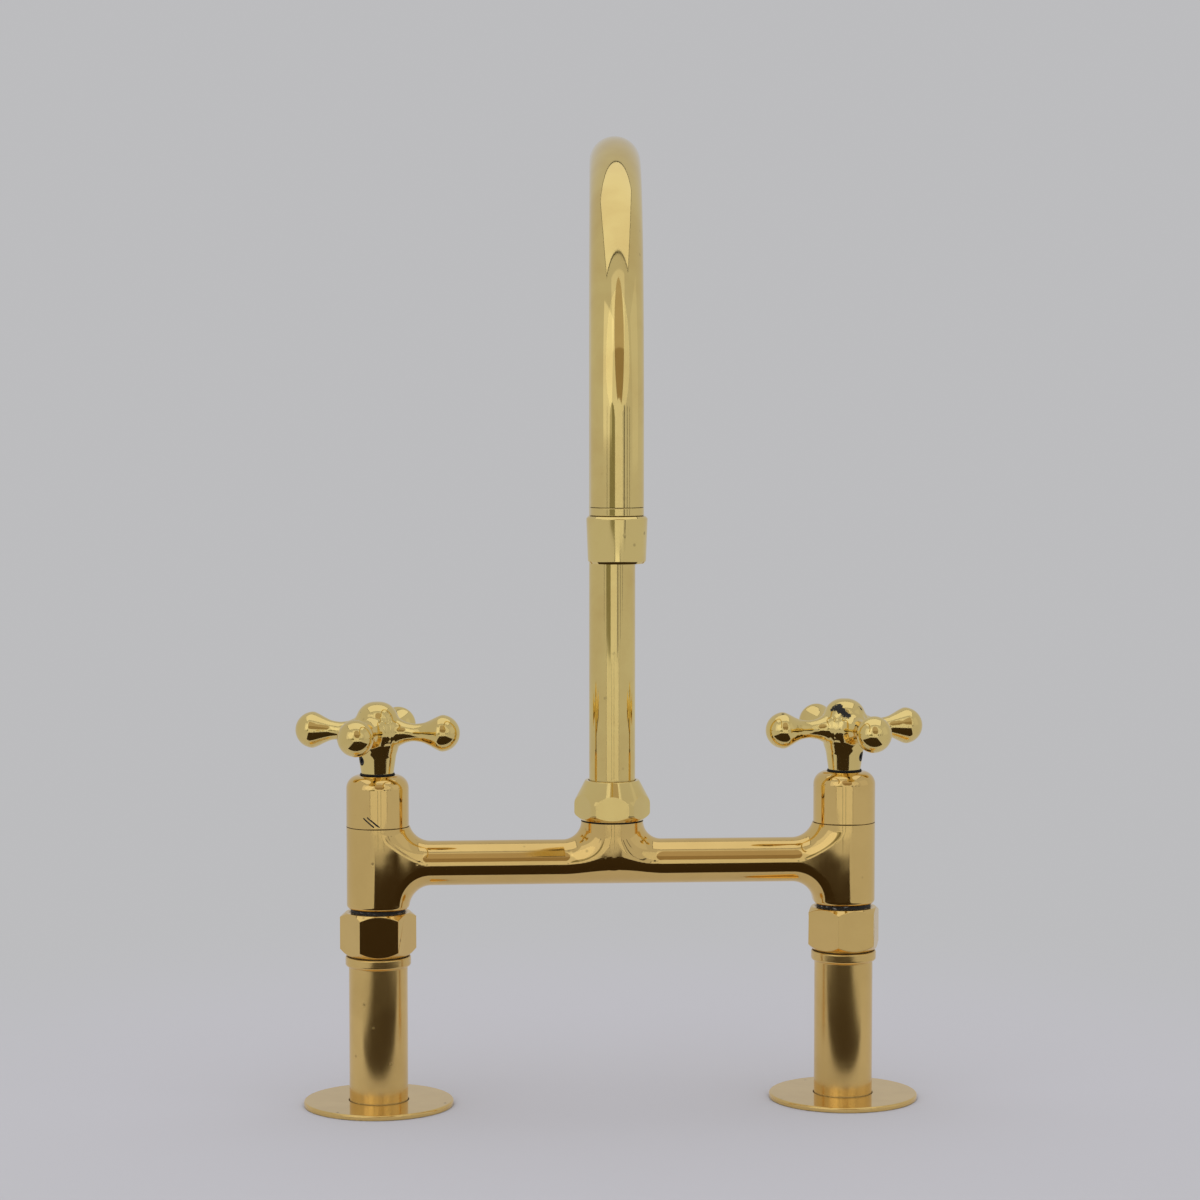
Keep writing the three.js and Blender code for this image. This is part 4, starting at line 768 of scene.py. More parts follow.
def plain_material(name):
    """One of the plain finishes, with a fine grain of its own."""
    if name in bpy.data.materials:
        return bpy.data.materials[name]
    colour, roughness, metallic, grain, depth, variation = PLAIN_FINISHES[name]
    colour = getattr(finish(), colour)
    material, shade = new_material(name)
    place = shade.place()
    fine, broad = shade.noise(place, grain, 4, 0.6), shade.noise(place, grain / 12, 3, 0.5)
    darker = [channel * (1 - variation) for channel in colour]
    inputs = {
        "Base Color": shade.mixed(broad, rgba(colour), rgba(darker)),
        "Roughness": shade.plus(shade.times(fine, 0.2), roughness - 0.1),
        "Metallic": metallic,
    }
    shade.surface(inputs, fine, depth * MM)
    return material


def tape_material():
    """White thread tape, soiled black in its folds."""
    material, shade = new_material("thread_tape")
    crossed = shade.add("Mapping", {"Vector": shade.place(), "Scale": (500, 500, 1400)})["Vector"]
    folds = shade.noise(crossed, 1.0, 4, 0.65, 0.6)
    inputs = {
        "Base Color": shade.mixed(shade.ramp(folds, 0.60, 0.72), rgba(finish().residue_and_shade), rgba(finish().tape)),
        "Roughness": shade.plus(shade.times(folds, 0.4), 0.4),
    }
    shade.surface(inputs, folds, 0.25 * MM)
    return material


# ---- Pieces ----------------------------------------------------------------------------------------


class FAUCET_OT_inner_finishes(bpy.types.Operator):
    """Give the CAD pieces that stay inside their own finishes"""

    bl_idname = "faucet.inner_finishes"
    bl_label = "Inner pieces"

    def execute(self, context):
        finishes = {
            "plain_brass": plain_material("machined_brass"),
            "steel": plain_material("stainless_steel"),
            "rubber": plain_material("black_rubber"),
            "ceramic": plain_material("lapped_ceramic"),
            "acetal": plain_material("pale_acetal"),
            "black_plastic": plain_material("black_plastic"),
            "polished_brass": brass_material("casting_brass"),
        }
        slots = {part["node"]: part["material_slot"] for part in frame["record"]["subparts"]}
        for name, obj in frame["nodes"].items():
            for place in obj.material_slots:
                place.material = finishes[slots[name]]
        return {"FINISHED"}


class FAUCET_OT_legs(bpy.types.Operator):
    """Turn the two deck flanges and the two collared legs"""

    bl_idname = "faucet.legs"
    bl_label = "Legs and flanges"

    def execute(self, context):
        brass = brass_material(
            "leg_brass", tarnish=0.5, smoothness=0.16, streaks=(700, 700, 40), waviness=0.04
        )
        foot, top = heights("left_leg")
        radius, collar = size_mm("leg_radius"), size_mm("collar_radius")
        shank_bore, tail_bore, waterway = 10.7, 8.65, 7.0
        shank_stop, tail_stop = foot + 26.2, top - 16.2
        leg = turned("leg", [
            (shank_bore, foot, 0.2), (radius, foot, 0.3), (radius, top - 4.5, 0.5), (collar, top - 4.1, 1.3),
            (collar, top, 0.7), (tail_bore, top, 0.3), (tail_bore, tail_stop), (waterway, tail_stop),
            (waterway, shank_stop), (shank_bore, shank_stop),
        ])
        set_pair(leg, "leg_tube", "faucet_body", brass, "polished_brass", "%s_leg")
        rolled = brass_material("flange_brass", tarnish=0.5, pits=0.7, streaks=(300, 300, 300))
        thickness, rim, edge = heights("left_flange")[1], size_mm("flange_radius"), size_mm("flange_edge")
        gasket_room, gasket_top, leg_room = 27.25, 1.3, radius + 0.25
        flange = turned("flange", [
            (gasket_room, 0, 0.1), (rim, 0, 0.3), (rim, thickness, edge), (rim - 4, thickness),
            (leg_room, thickness, 0.25), (leg_room, gasket_top), (gasket_room, gasket_top),
        ], steps=160)
        set_pair(flange, "deck_flange", "faucet_body", rolled, "polished_brass", "%s_flange")
        return {"FINISHED"}


class FAUCET_OT_union_nuts(bpy.types.Operator):
    """Turn a union nut, cut its six flats and set one on each leg"""

    bl_idname = "faucet.union_nuts"
    bl_label = "Union nuts"

    def execute(self, context):
        brass = brass_material("nut_brass", tarnish=0.3, streaks=(90, 90, 700))
        foot, top = heights("left_union_nut")
        corner = size_mm("union_flats") / 2 / HEXAGON + 0.2
        tail_room, thread_room, lip = 8.65, 11.4, foot + 4
        nut = turned("union_nut", [
            (tail_room, foot, 0.3), (13.3, foot, 0.4), (corner, foot + 3.2, 0.8), (corner, top - 2.3, 0.8),
            (14.0, top, 0.4), (thread_room, top, 0.4), (thread_room, lip), (tail_room, lip),
        ], steps=144)
        flats(nut, sizes().union_flats)
        turns = rest_turns("nut", 0, 0)
        set_pair(nut, "union_hexagon", "faucet_body", brass, "polished_brass", "%s_union_nut", turns=turns)
        return {"FINISHED"}


def eased(share):
    share = np.clip(share, 0, 1)
    return share * share * (3 - 2 * share)


def arc(x, z, radius, start, end, steps=48):
    """Points on an arc between two angles in degrees."""
    return [
        (x + radius * math.cos(angle), z + radius * math.sin(angle))
        for angle in np.radians(np.linspace(start, end, steps + 1))
    ]


def front_outline(spread, axis, bar, barrel, barrel_fillet, boss_fillet):
    """The right half of the bridge seen from the front, as far as the flares reach."""
    side, foot, top, far = spread - barrel, axis - 35 * MM, axis + 34 * MM, spread + 15 * MM
    low, high, start = axis - bar, axis + bar, -30 * MM
    corner, boss_corner, over = side - barrel_fillet, barrel + boss_fillet, high + boss_fillet
    return np.array([
        (start, low), *arc(corner, low - barrel_fillet, barrel_fillet, 90, 0),
        (side, foot), (far, foot), (far, top), (side, top),
        *arc(corner, high + barrel_fillet, barrel_fillet, 0, -90),
        *arc(boss_corner, over, boss_fillet, 270, 180), (barrel, top), (-barrel, top),
        *arc(-boss_corner, over, boss_fillet, 0, -90), (start, high), (start, low),
    ])


def flared_bar():
    """The bar, which deepens into each barrel and the boss over its flares and is rounded along its edges."""
    spread, bar, edge = sizes().leg_spread, sizes().bar_radius, sizes().flare_edge
    fillets = sizes().barrel_fillet, sizes().boss_fillet
    outline = front_outline(spread, BAR_AXIS * MM, bar, sizes().barrel_radius, *fillets)
    barrel_flare, boss_flare = (sizes().barrel_radius + fillet for fillet in fillets)
    barrel = sizes().barrel_radius - 0.01 * MM
    table = DistanceTable(outline, MM, 0.22 * MM)
    step = 0.05 * MM

    def depth(x):
        at_barrel, at_boss = eased(1 - (spread - x) / barrel_flare), eased(1 - x / boss_flare)
        deep = bar + (barrel - bar) * at_barrel
        return deep + (barrel - deep) * at_boss, at_barrel, at_boss

    def form(places):
        x, y, z = places.T
        distance, way = table(places[:, [0, 2]])
        deep, at_barrel, at_boss = depth(x)
        slope = (depth(x + step)[0] - deep) / step
        above = eased((z - BAR_AXIS * MM) / (15 * MM))
        edge_here = edge + (barrel - edge) * above
        rounding = bar + (edge_here - bar) * at_barrel
        rounding = np.minimum(rounding + (barrel - rounding) * at_boss, deep)
        faces = abs(y) - deep, unit(np.stack([-slope, np.where(y < 0, -1.0, 1.0), 0 * x], axis=1))
        sides = distance, unit(np.stack([way[:, 0], 0 * x, way[:, 1]], axis=1))
        below = BARREL_FOOT * MM - z, np.tile([0.0, 0.0, -1.0], (len(x), 1))
        return rounded_overlap(rounded_overlap(faces, sides, rounding), below, BARREL_FOOT_ROUNDING * MM)

    return form


def bridge_form(spread, bar, barrel, boss, fillet):
    """The blended form of the bridge, as a function of places."""

    def form(places):
        folded = places.copy()
        sign = np.where(places[:, 0] < 0, -1.0, 1.0)
        folded[:, 0] = abs(places[:, 0])
        upright = folded.copy()
        upright[:, 0] -= spread
        post = barrel(upright)
        whole = blended(blended(bar(folded), post, fillet), boss(folded), fillet)
        beyond = folded[:, 0] > spread
        distance = np.where(beyond, post[0], whole[0])
        way = np.where(beyond[:, None], post[1], whole[1]).copy()
        way[:, 0] *= sign
        return distance, way

    return form


class FAUCET_OT_bridge(bpy.types.Operator):
    """Cast the bridge: two barrels, the bar and the boss, blended, cut level and bored"""

    bl_idname = "faucet.bridge"
    bl_label = "Bridge casting"

    def execute(self, context):
        spread, radius = size_mm("leg_spread"), size_mm("barrel_radius")
        barrel_top = heights("left_bonnet")[0] - BARREL_GAP
        spare = 6
        barrel_end, boss_end = barrel_top + spare, boss_top() + spare
        barrel_line = [
            (0, BARREL_FOOT), (radius, BARREL_FOOT, BARREL_FOOT_ROUNDING), (radius, barrel_end),
            (0, barrel_end),
        ]
        barrel_profile = np.array([tuple(point) for point in rounded(in_metres(barrel_line), 0.08)])
        bowl = size_mm("boss_bowl")
        depth = bowl + size_mm("bar_radius")
        boss_line = [
            (radius * math.cos(angle), BAR_AXIS + bowl + depth * math.sin(angle))
            for angle in np.radians(np.arange(-90, 0.5, 1.5))
        ]
        boss_line[0] = (0, boss_line[0][1])
        boss_profile = np.array(in_metres([*boss_line, (boss_line[-1][0], boss_end), (0, boss_end)]))
        barrel = spun("barrel", barrel_profile)
        uprights = [set_in_place(barrel, "upright", sign * spread * MM) for _, sign in SIDES]
        scrap(barrel)
        boss = spun("boss", boss_profile)
        bar = lying_rod(96, size_mm("bar_radius"), 2 * spread, (0, 0, BAR_AXIS))
        turned_forms = turned_form(barrel_profile), turned_form(boss_profile)
        form = bridge_form(sizes().leg_spread, flared_bar(), *turned_forms, 3 * MM)
        casting = cast("bridge_casting", [bar, boss, *uprights], sizes().casting_grain, form)
        self.cut_level(casting, barrel_top * MM)
        self.bore(casting, spread, barrel_top)
        close_up(casting, 35)
        lay_normals(casting, form)
        brass = brass_material("casting_brass", tarnish=0.3, pits=0.6, streaks=(60, 500, 500), waviness=0.03)
        finished(casting, "faucet_body", brass, "polished_brass", "bridge_body")
        return {"FINISHED"}

    def cut_level(self, casting, barrel_top):
        """Faces off the boss and the barrels, each at its own height."""
        slice_off(casting, boss_top() * MM)
        ends, height = [], 0.02
        for _, sign in SIDES:
            place = (sign * 0.1, 0, barrel_top + height / 2)
            end = added(bpy.ops.mesh.primitive_cube_add, size=1, location=place)
            end.scale = (0.09, 0.05, height)
            ends.append(close_up(end))
        cut(casting, join("facing", ends))

    def bore(self, casting, spread, barrel_top):
        """Bores the chambers, the inlets, the spout's socket and the way through the bar."""
        spare, inlet, chamber_foot, socket_foot = 3, 6.05, 93.1, 112.7
        drill = stepped_drill("chamber", BARREL_FOOT - spare, inlet, chamber_foot, 9.85, barrel_top + spare)
        tools = [set_in_place(drill, "bore", sign * spread * MM) for _, sign in SIDES]
        scrap(drill)
        tools.append(stepped_drill("socket", BAR_AXIS, 7.4, socket_foot, 10.5, boss_top() + spare))
        tools.append(lying_rod(48, 5.5, 2 * spread, (0, 0, BAR_AXIS)))
        for tool in tools:
            cut(casting, tool)


class FAUCET_OT_union_threads(bpy.types.Operator):
    """Turn the bridge's threads, wind the tape over the union nuts and lay a near-black ring under the spout
    nut, which paints the shade in that gap along with thread paste
    """

    bl_idname = "faucet.union_threads"
    bl_label = "Union threads and tape"

    def execute(self, context):
        machined = plain_material("machined_brass")
        foot, top, radius, inlet = 74.5, BARREL_FOOT + 0.05, 11.1, 6.05
        wall = ringed(radius, foot + 1, top, 42)
        spigot = turned("spigot", [(inlet, foot), (10.2, foot), *wall, (inlet, top)])
        cut_thread(spigot, radius, 0.7, 1.5, foot + 1, top)
        set_pair(spigot, "union_thread", "faucet_body", machined, "plain_brass", "bridge_body")
        foot, top, inner, outer = 84.2, 85.95, 11.15, 11.75
        tape = turned("tape", [(inner, foot), *ringed(outer, foot, top, 9), (inner, top)], steps=192)
        crumple(tape, 11.5, ((0.0020, 23, 9, 0), (0.0014, 61, 0, 0), (0.0012, 7, 5, 0)))
        wound, turns = tape_material(), (-0.7, 0.7)
        set_pair(tape, "thread_tape", "faucet_body", wound, "polished_brass", "bridge_body", turns=turns)
        foot, top, radius, socket = boss_top(), heights("slip_bush")[0] - 0.2, 11.95, 10.5
        wall = ringed(radius, foot - 0.05, top - 0.6, 30)
        collar = turned("spout_thread", [(socket, foot - 0.05), *wall, (11.4, top), (socket, top)])
        cut_thread(collar, radius, 0.6, 1.5, foot, top - 0.6)
        finished(collar, "faucet_body", machined, "plain_brass", "bridge_body")
        # A near-black ring in the gap under the spout nut: painted shade in that gap, and thread paste
        # squeezed out
        foot, top, inner, outer = foot + 0.02, foot + 0.62, 12.1, 13.0
        gap_shade_and_paste = turned("nut_gap_shade_and_paste", [(inner, foot), *ringed(outer, foot, top, 3), (inner, top)], steps=160)
        crumple(gap_shade_and_paste, 12.6, ((0.02, 5, 0, 0.6), (0.014, 13, 0, 0), (0.01, 31, 0, 0)))
        finished(close_up(gap_shade_and_paste), "faucet_body", plain_material("shade_and_old_polish"), "rubber")
        return {"FINISHED"}


BONNET_SCRATCHES = (  # start, end, width and cover, mm
    ((-107.6, -12.2, 126.6), (-103.4, -13.4, 123.0), 0.35, 0.78),
    ((-106.0, -12.8, 127.0), (-101.8, -13.5, 123.4), 0.3, 0.74),
    ((-104.4, -13.2, 125.9), (-100.9, -13.5, 122.9), 0.28, 0.7),
)


class FAUCET_OT_bonnets(bpy.types.Operator):
    """Turn the domed bonnets over the cartridges, and the near-black rings in the gaps over them, which paint
    the shade in those gaps along with grease
    """

    bl_idname = "faucet.bonnets"
    bl_label = "Bonnets"

    def execute(self, context):
        foot, top = heights("left_bonnet")
        # A near-black ring in the gap between each bonnet and its handle: painted shade in that gap, with
        # grease
        inner, outer, low, high = 6.3, 7.45, top - 0.1, heights("left_handle")[0] - 0.05
        corners = (inner, low, 0.2), (outer, low, 0.3), (outer, high, 0.3), (inner, high, 0.2)
        ring = turned("gap_shade_and_grease_ring", corners)
        set_pair(ring, "gap_shade_and_grease_ring", "%s_handle_set", plain_material("shade_and_old_polish"), "rubber")
        radius, thread_top = size_mm("barrel_radius"), foot + 5.2
        stem_room, chamber, thread_room = 7.6, 9.7, 11.3
        bonnet = turned("bonnet", [
            (thread_room, foot, 0.2), (radius, foot, 0.35), (radius, top, size_mm("bonnet_shoulder")),
            (stem_room, top, 0.15), (stem_room, top - 2.2), (chamber, top - 4.4), (chamber, thread_top),
            (thread_room, thread_top),
        ], steps=128)
        brass = {
            side: brass_material(f"{side}_bonnet_brass", pits=0.5, streaks=(600, 600, 80), marks=marks)
            for side, marks in (("left", BONNET_SCRATCHES), ("right", ()))
        }
        set_pair(bonnet, "domed_bonnet", "faucet_body", brass, "polished_brass", "%s_bonnet")
        return {"FINISHED"}


HANDLE_HUB = (  # radius and height from the foot of the neck, and rounding, mm; it is cut off level at 0
    (0, -3), (7.05, -3), (7.05, 0), (8.1, 7.4, 10), (9.7, 13.0, 3.5), (8.7, 30.8, 8.3), (0, 30.8),
)
HANDLE_ARM = (  # distance from the hub's axis and radius, mm, up to where the round end begins
    (5, 8.6), (8, 7.5), (10, 5.75), (12.7, 4.45), (15, 3.95), (17.5, 3.8), (21, 4.35), (23.8, 5.5),
    (26.4, 6.8), (28.2, 7.6), (29.2, 7.86), (30.2, 7.82), (31.0, 7.63),
)
ARM_END = 28.95, 7.9  # centre and radius of the round end, mm
ARM_RISE = 17.9 * MM
SCREW_RISE = 5.7  # axis of the set screw over the foot of the neck, mm
HANDLE_MARKS = {  # start, end, width and cover, mm
    "left": (
        ((-97.9, -6, 171.6), (-96.2, -6, 169.6), 1.2, 0.55),
        ((-109.4, -4, 172.4), (-109.2, -4, 171.8), 0.7, 0.7),
    ),
    "right": (
        ((94.6, -6, 172.6), (98.0, -7, 172.8), 2.4, 0.68),
        ((98.5, -7.5, 171.5), (104.6, -9, 165.2), 2.2, 0.66),
        ((107.6, -6, 172.8), (108.9, -5, 171.9), 1.5, 0.6),
    ),
}


def handle_profiles(fineness):
    """The turned profiles of a handle's hub and of an arm."""
    hub = [tuple(point) for point in rounded(HANDLE_HUB, 0.08 / fineness)]
    side = smooth_line(HANDLE_ARM, 0.28 / fineness)
    end, radius = ARM_END
    turns = np.radians(np.arange(17, 90, 3 / fineness))
    cap = [(end + radius * math.sin(turn), radius * math.cos(turn)) for turn in turns]
    arm = np.concatenate([[(side[0][0], 0)], side, cap, [(end + radius, 0)]])[:, ::-1]
    return np.array(hub) * MM, arm * MM


def handle_form():
    """The blended form of a handle, as a function of places."""
    hub_form, arm_form = (turned_form(line) for line in handle_profiles(fineness=6))
    over, under = sizes().arm_blend, sizes().neck_blend

    def arm_along(folded, order, back):
        places = folded[:, order].copy()
        places[:, 0] -= ARM_RISE
        far, way = arm_form(places)
        return far, way[:, back]

    def form(places):
        sign = np.where(places < 0, -1.0, 1.0)
        sign[:, 2] = 1
        folded = places * sign
        along_x = arm_along(folded, [2, 1, 0], [2, 1, 0])
        along_y = arm_along(folded, [2, 0, 1], [1, 2, 0])
        blend = over + (under - over) * eased((ARM_RISE - places[:, 2]) / (5 * MM) + 0.4)
        distance, way = blended(blended(along_x, along_y, blend), hub_form(folded), blend)
        return distance, way * sign

    return form


class FAUCET_OT_handles(bpy.types.Operator):
    """Cast the cross handle from its hub and four arms, bore it and set one on each spindle"""

    bl_idname = "faucet.handles"
    bl_label = "Cross handles"

    def execute(self, context):
        hub_line, arm_line = handle_profiles(fineness=1)
        hub = spun("hub", hub_line)
        arm = spun("arm", arm_line, steps=64)
        raised = Matrix.Translation((0, 0, ARM_RISE))
        laid = Matrix.Rotation(math.pi / 2, 4, "Y")
        arms = []
        for k in range(4):
            copy = set_in_place(arm, "arm_copy")
            copy.matrix_world = raised @ Matrix.Rotation(k * math.pi / 2, 4, "Z") @ laid
            arms.append(close_up(copy))
        scrap(arm)
        form = handle_form()
        casting = cast("handle", [hub, *arms], sizes().handle_grain, form)
        slice_off(casting, 0, above=False)
        cut(casting, turned("socket", [(0, -1), (4.3, -1), (4.3, 12.3), (0, 12.8)], steps=48))
        drill = lying_rod(32, 2.2, 9, (7, 0, SCREW_RISE))
        drill.rotation_euler = (0, 0, -math.pi / 4)
        cut(casting, close_up(drill))
        close_up(casting, 35)
        lay_normals(casting, form)
        brass = {
            side: brass_material(
                f"{side}_handle_brass", tarnish=0.3, pits=0.9, smoothness=0.05, streaks=(160, 160, 160),
                waviness=0.006, marks=HANDLE_MARKS[side], warm=False,
            )
            for side, _ in SIDES
        }
        place = {"z": heights("left_handle")[0] * MM, "turns": rest_turns("handle", -math.pi / 2, 0)}
        set_pair(casting, "cross_handle", "%s_handle_set", brass, "polished_brass", "%s_handle", **place)
        return {"FINISHED"}


class FAUCET_OT_set_screws(bpy.types.Operator):
    """Turn the set screws and press their hexagon sockets"""

    bl_idname = "faucet.set_screws"
    bl_label = "Handle set screws"

    def execute(self, context):
        tip, start, end, face, radius = 4.2, 4.5, 7.2, 7.5, 2.0  # distances from the handle's axis, mm
        wall = ringed(radius, start, end, 20)
        screw = turned("screw", [(0, tip), (1.6, tip), *wall, (1.75, face), (0, face)], steps=36)
        cut_thread(screw, radius, 0.25, 0.7, start, end)
        key = {"vertices": 6, "radius": 1.2 * MM, "depth": 3 * MM, "location": (0, 0, (face + 0.1) * MM)}
        cut(screw, close_up(added(bpy.ops.mesh.primitive_cylinder_add, **key)))
        screw.rotation_euler = (0, math.pi / 2, 0)
        close_up(screw)
        place = {"z": (heights("left_handle")[0] + SCREW_RISE) * MM}
        place["turns"] = rest_turns("handle", math.radians(225), math.radians(-45))
        steel = plain_material("blackened_steel")
        set_pair(screw, "set_screw", "%s_handle_set", steel, "steel", "%s_handle_screw", **place)
        return {"FINISHED"}


class FAUCET_OT_spout_nut(bpy.types.Operator):
    """Turn the rounded spout nut and cut its six flats"""

    bl_idname = "faucet.spout_nut"
    bl_label = "Spout nut"

    def execute(self, context):
        brass = brass_material("spout_nut_brass", tarnish=0.25, streaks=(200, 200, 600), warm=False)
        foot, top = heights("spout_nut")
        shoulder = heights("spout_ferrule")[1] + 0.2
        thread_room, corner, tube_room = 12.3, 16.45, 10.25
        nut = turned("spout_hexagon", [
            (thread_room, foot, 0.3), (13.8, foot, 0.5), (corner, foot + 2.5, 1.8), (corner, foot + 8.2, 5.0),
            (11.7, top, 0.5), (tube_room, top, 0.3), (tube_room, shoulder), (thread_room, shoulder),
        ], steps=144)
        flats(nut, sizes().spout_flats, edge=0.6 * MM)
        placed = set_in_place(nut, "spout_hexagon_nut", turn=sizes().spout_turn)
        scrap(nut)
        finished(placed, "faucet_body", brass, "polished_brass", "spout_nut")
        return {"FINISHED"}


TIP_SHOULDER = 7  # from the top of the spout's tip down to its shoulder, mm


class FAUCET_OT_gooseneck(bpy.types.Operator):
    """Draw the gooseneck from one ring: up the riser, spun round the bend and down to the tip"""

    bl_idname = "faucet.gooseneck"
    bl_label = "Gooseneck"

    def wall(self, name, radius, foot, end, facing_in):
        """One face of the tube, outside or inside."""
        bend, reach = sizes().bend_height, sizes().bend_radius
        ring = bpy.ops.mesh.primitive_circle_add
        tube = added(ring, vertices=80, radius=radius, fill_type="NOTHING", location=(0, 0, foot))
        tube.name = name
        edit(tube)
        select_all()
        for rise in np.diff(np.linspace(foot, bend, 15)):
            bpy.ops.mesh.extrude_region_move(TRANSFORM_OT_translate={"value": (0, 0, rise)})
        bpy.ops.mesh.spin(steps=96, angle=math.pi, center=(0, -reach, bend), axis=(-1, 0, 0))
        for drop in np.diff(np.linspace(bend, end, 5)):
            bpy.ops.mesh.extrude_region_move(TRANSFORM_OT_translate={"value": (0, 0, drop)})
        select_all()
        bpy.ops.mesh.normals_make_consistent(inside=facing_in)
        return close_up(tube)

    def execute(self, context):
        foot = (heights("spout_ferrule")[1] - 2.8) * MM
        end = (heights("spout_tip")[1] - TIP_SHOULDER + 0.2) * MM
        radius, reach = sizes().tube_radius, sizes().bend_radius
        outer = self.wall("outer", radius, foot, end, facing_in=False)
        inner = self.wall("inner", radius - sizes().tube_wall, foot, end, facing_in=True)
        tube = join("gooseneck_tube", [outer, inner])
        edit(tube)
        bpy.ops.mesh.select_mode(type="EDGE")
        select_all(False)
        for low, high in ((-reach, reach), (-3 * reach, -reach)):
            mesh = bmesh.from_edit_mesh(tube.data)
            for edge in mesh.edges:
                edge.select_set(edge.is_boundary and low < edge.verts[0].co.y < high)
            bmesh.update_edit_mesh(tube.data)
            bpy.ops.mesh.bridge_edge_loops()
        select_all()
        bpy.ops.mesh.normals_make_consistent(inside=False)
        tube.rotation_euler = (0, 0, sizes().spout_turn)
        close_up(tube)
        brass = brass_material(
            "gooseneck_brass", tarnish=0.4, pits=0.25, streaks=(700, 700, 30), waviness=0.035, warm=False
        )
        finished(tube, "spout", brass, "polished_brass", "spout_tube")
        return {"FINISHED"}


class FAUCET_OT_outlet(bpy.types.Operator):
    """Turn the spout's tip and the aerator housing"""

    bl_idname = "faucet.outlet"
    bl_label = "Spout tip and aerator housing"

    def execute(self, context):
        brass = brass_material("outlet_brass", tarnish=0.3, streaks=(500, 500, 60), warm=False)
        foot, top = heights("spout_tip")
        shoulder = top - TIP_SHOULDER
        radius, start, end, waterway, plug = 9.65, foot + 0.6, shoulder - 3.2, 7.1, 8.3
        tip = turned("tip", [
            (waterway, foot), (9.2, foot), *ringed(radius, start, end, 24), (9.3, shoulder - 3.0),
            (10.0, shoulder - 3.0, 0.3), (10.0, shoulder, 0.3), (plug, shoulder), (plug, top),
            (waterway, top),
        ])
        cut_thread(tip, radius, 0.5, 1.0, start, end)
        foot, top = heights("aerator_housing")
        lip, thread_room = 8.65, 9.95
        housing = turned("housing", [
            (lip, foot, 0.3), (10.0, foot, 0.0), (10.75, foot + 0.9, 0.5), (11.35, top - 0.8, 0.5),
            (10.6, top, 0.3), (thread_room, top, 0.2), (thread_room, foot + 2), (lip, foot + 2),
        ])
        low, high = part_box("aerator_housing")
        x, y = (low.x + high.x) / 2, (low.y + high.y) / 2
        pieces = (tip, "spout_tip_ring", "spout_tip"), (housing, "aerator_collar", "aerator_housing")
        for piece, name, node in pieces:
            finished(set_in_place(piece, name, x, y), "spout", brass, "polished_brass", node)
            scrap(piece)
        return {"FINISHED"}


class FAUCET_OT_under_deck(bpy.types.Operator):
    """Turn the threaded shanks, their washers and gaskets, and the back nuts"""

    bl_idname = "faucet.under_deck"
    bl_label = "Under the deck"

    def execute(self, context):
        machined, rubber, steel = (
            plain_material(name) for name in ("machined_brass", "black_rubber", "stainless_steel")
        )
        foot, top = heights("left_shank")
        radius, start, end, bore = 10.4, foot + 1.2, top - 0.6, 6.6
        wall = ringed(radius, start, end, 300)
        shank = turned("shank", [(bore, foot, 0.2), (9.2, foot), *wall, (9.8, top), (bore, top)], steps=64)
        cut_thread(shank, radius, 0.85, 1.814, start, end)
        set_pair(shank, "threaded_shank", "faucet_body", machined, "plain_brass", "%s_shank")
        shank_room = 10.75
        for name, node, material, slot, outer, edge in (
            ("foot_gasket", "deck_gasket", rubber, "rubber", 27.0, 0.25),
            ("soft_washer", "rubber_washer", rubber, "rubber", 19.0, 0.5),
            ("backing_washer", "steel_washer", steel, "steel", 19.0, 0.3),
        ):
            low, high = heights(f"left_{node}")
            corners = (shank_room, low), (outer, low), (outer, high), (shank_room, high)
            ring = turned(name, [(*corner, edge) for corner in corners])
            set_pair(ring, name, "faucet_body", material, slot, f"%s_{node}")
        low, high = heights("left_back_nut")
        across = 32
        corner = across / 2 / HEXAGON + 0.3
        nut = turned("back_nut", [
            (shank_room, low, 0.6), (15.6, low, 0.3), (corner, low + 1.5, 0.3), (corner, high, 0.4),
            (shank_room, high, 0.6),
        ], steps=144)
        flats(nut, across * MM)
        set_pair(nut, "clamping_nut", "faucet_body", machined, "plain_brass", "%s_back_nut")
        return {"FINISHED"}


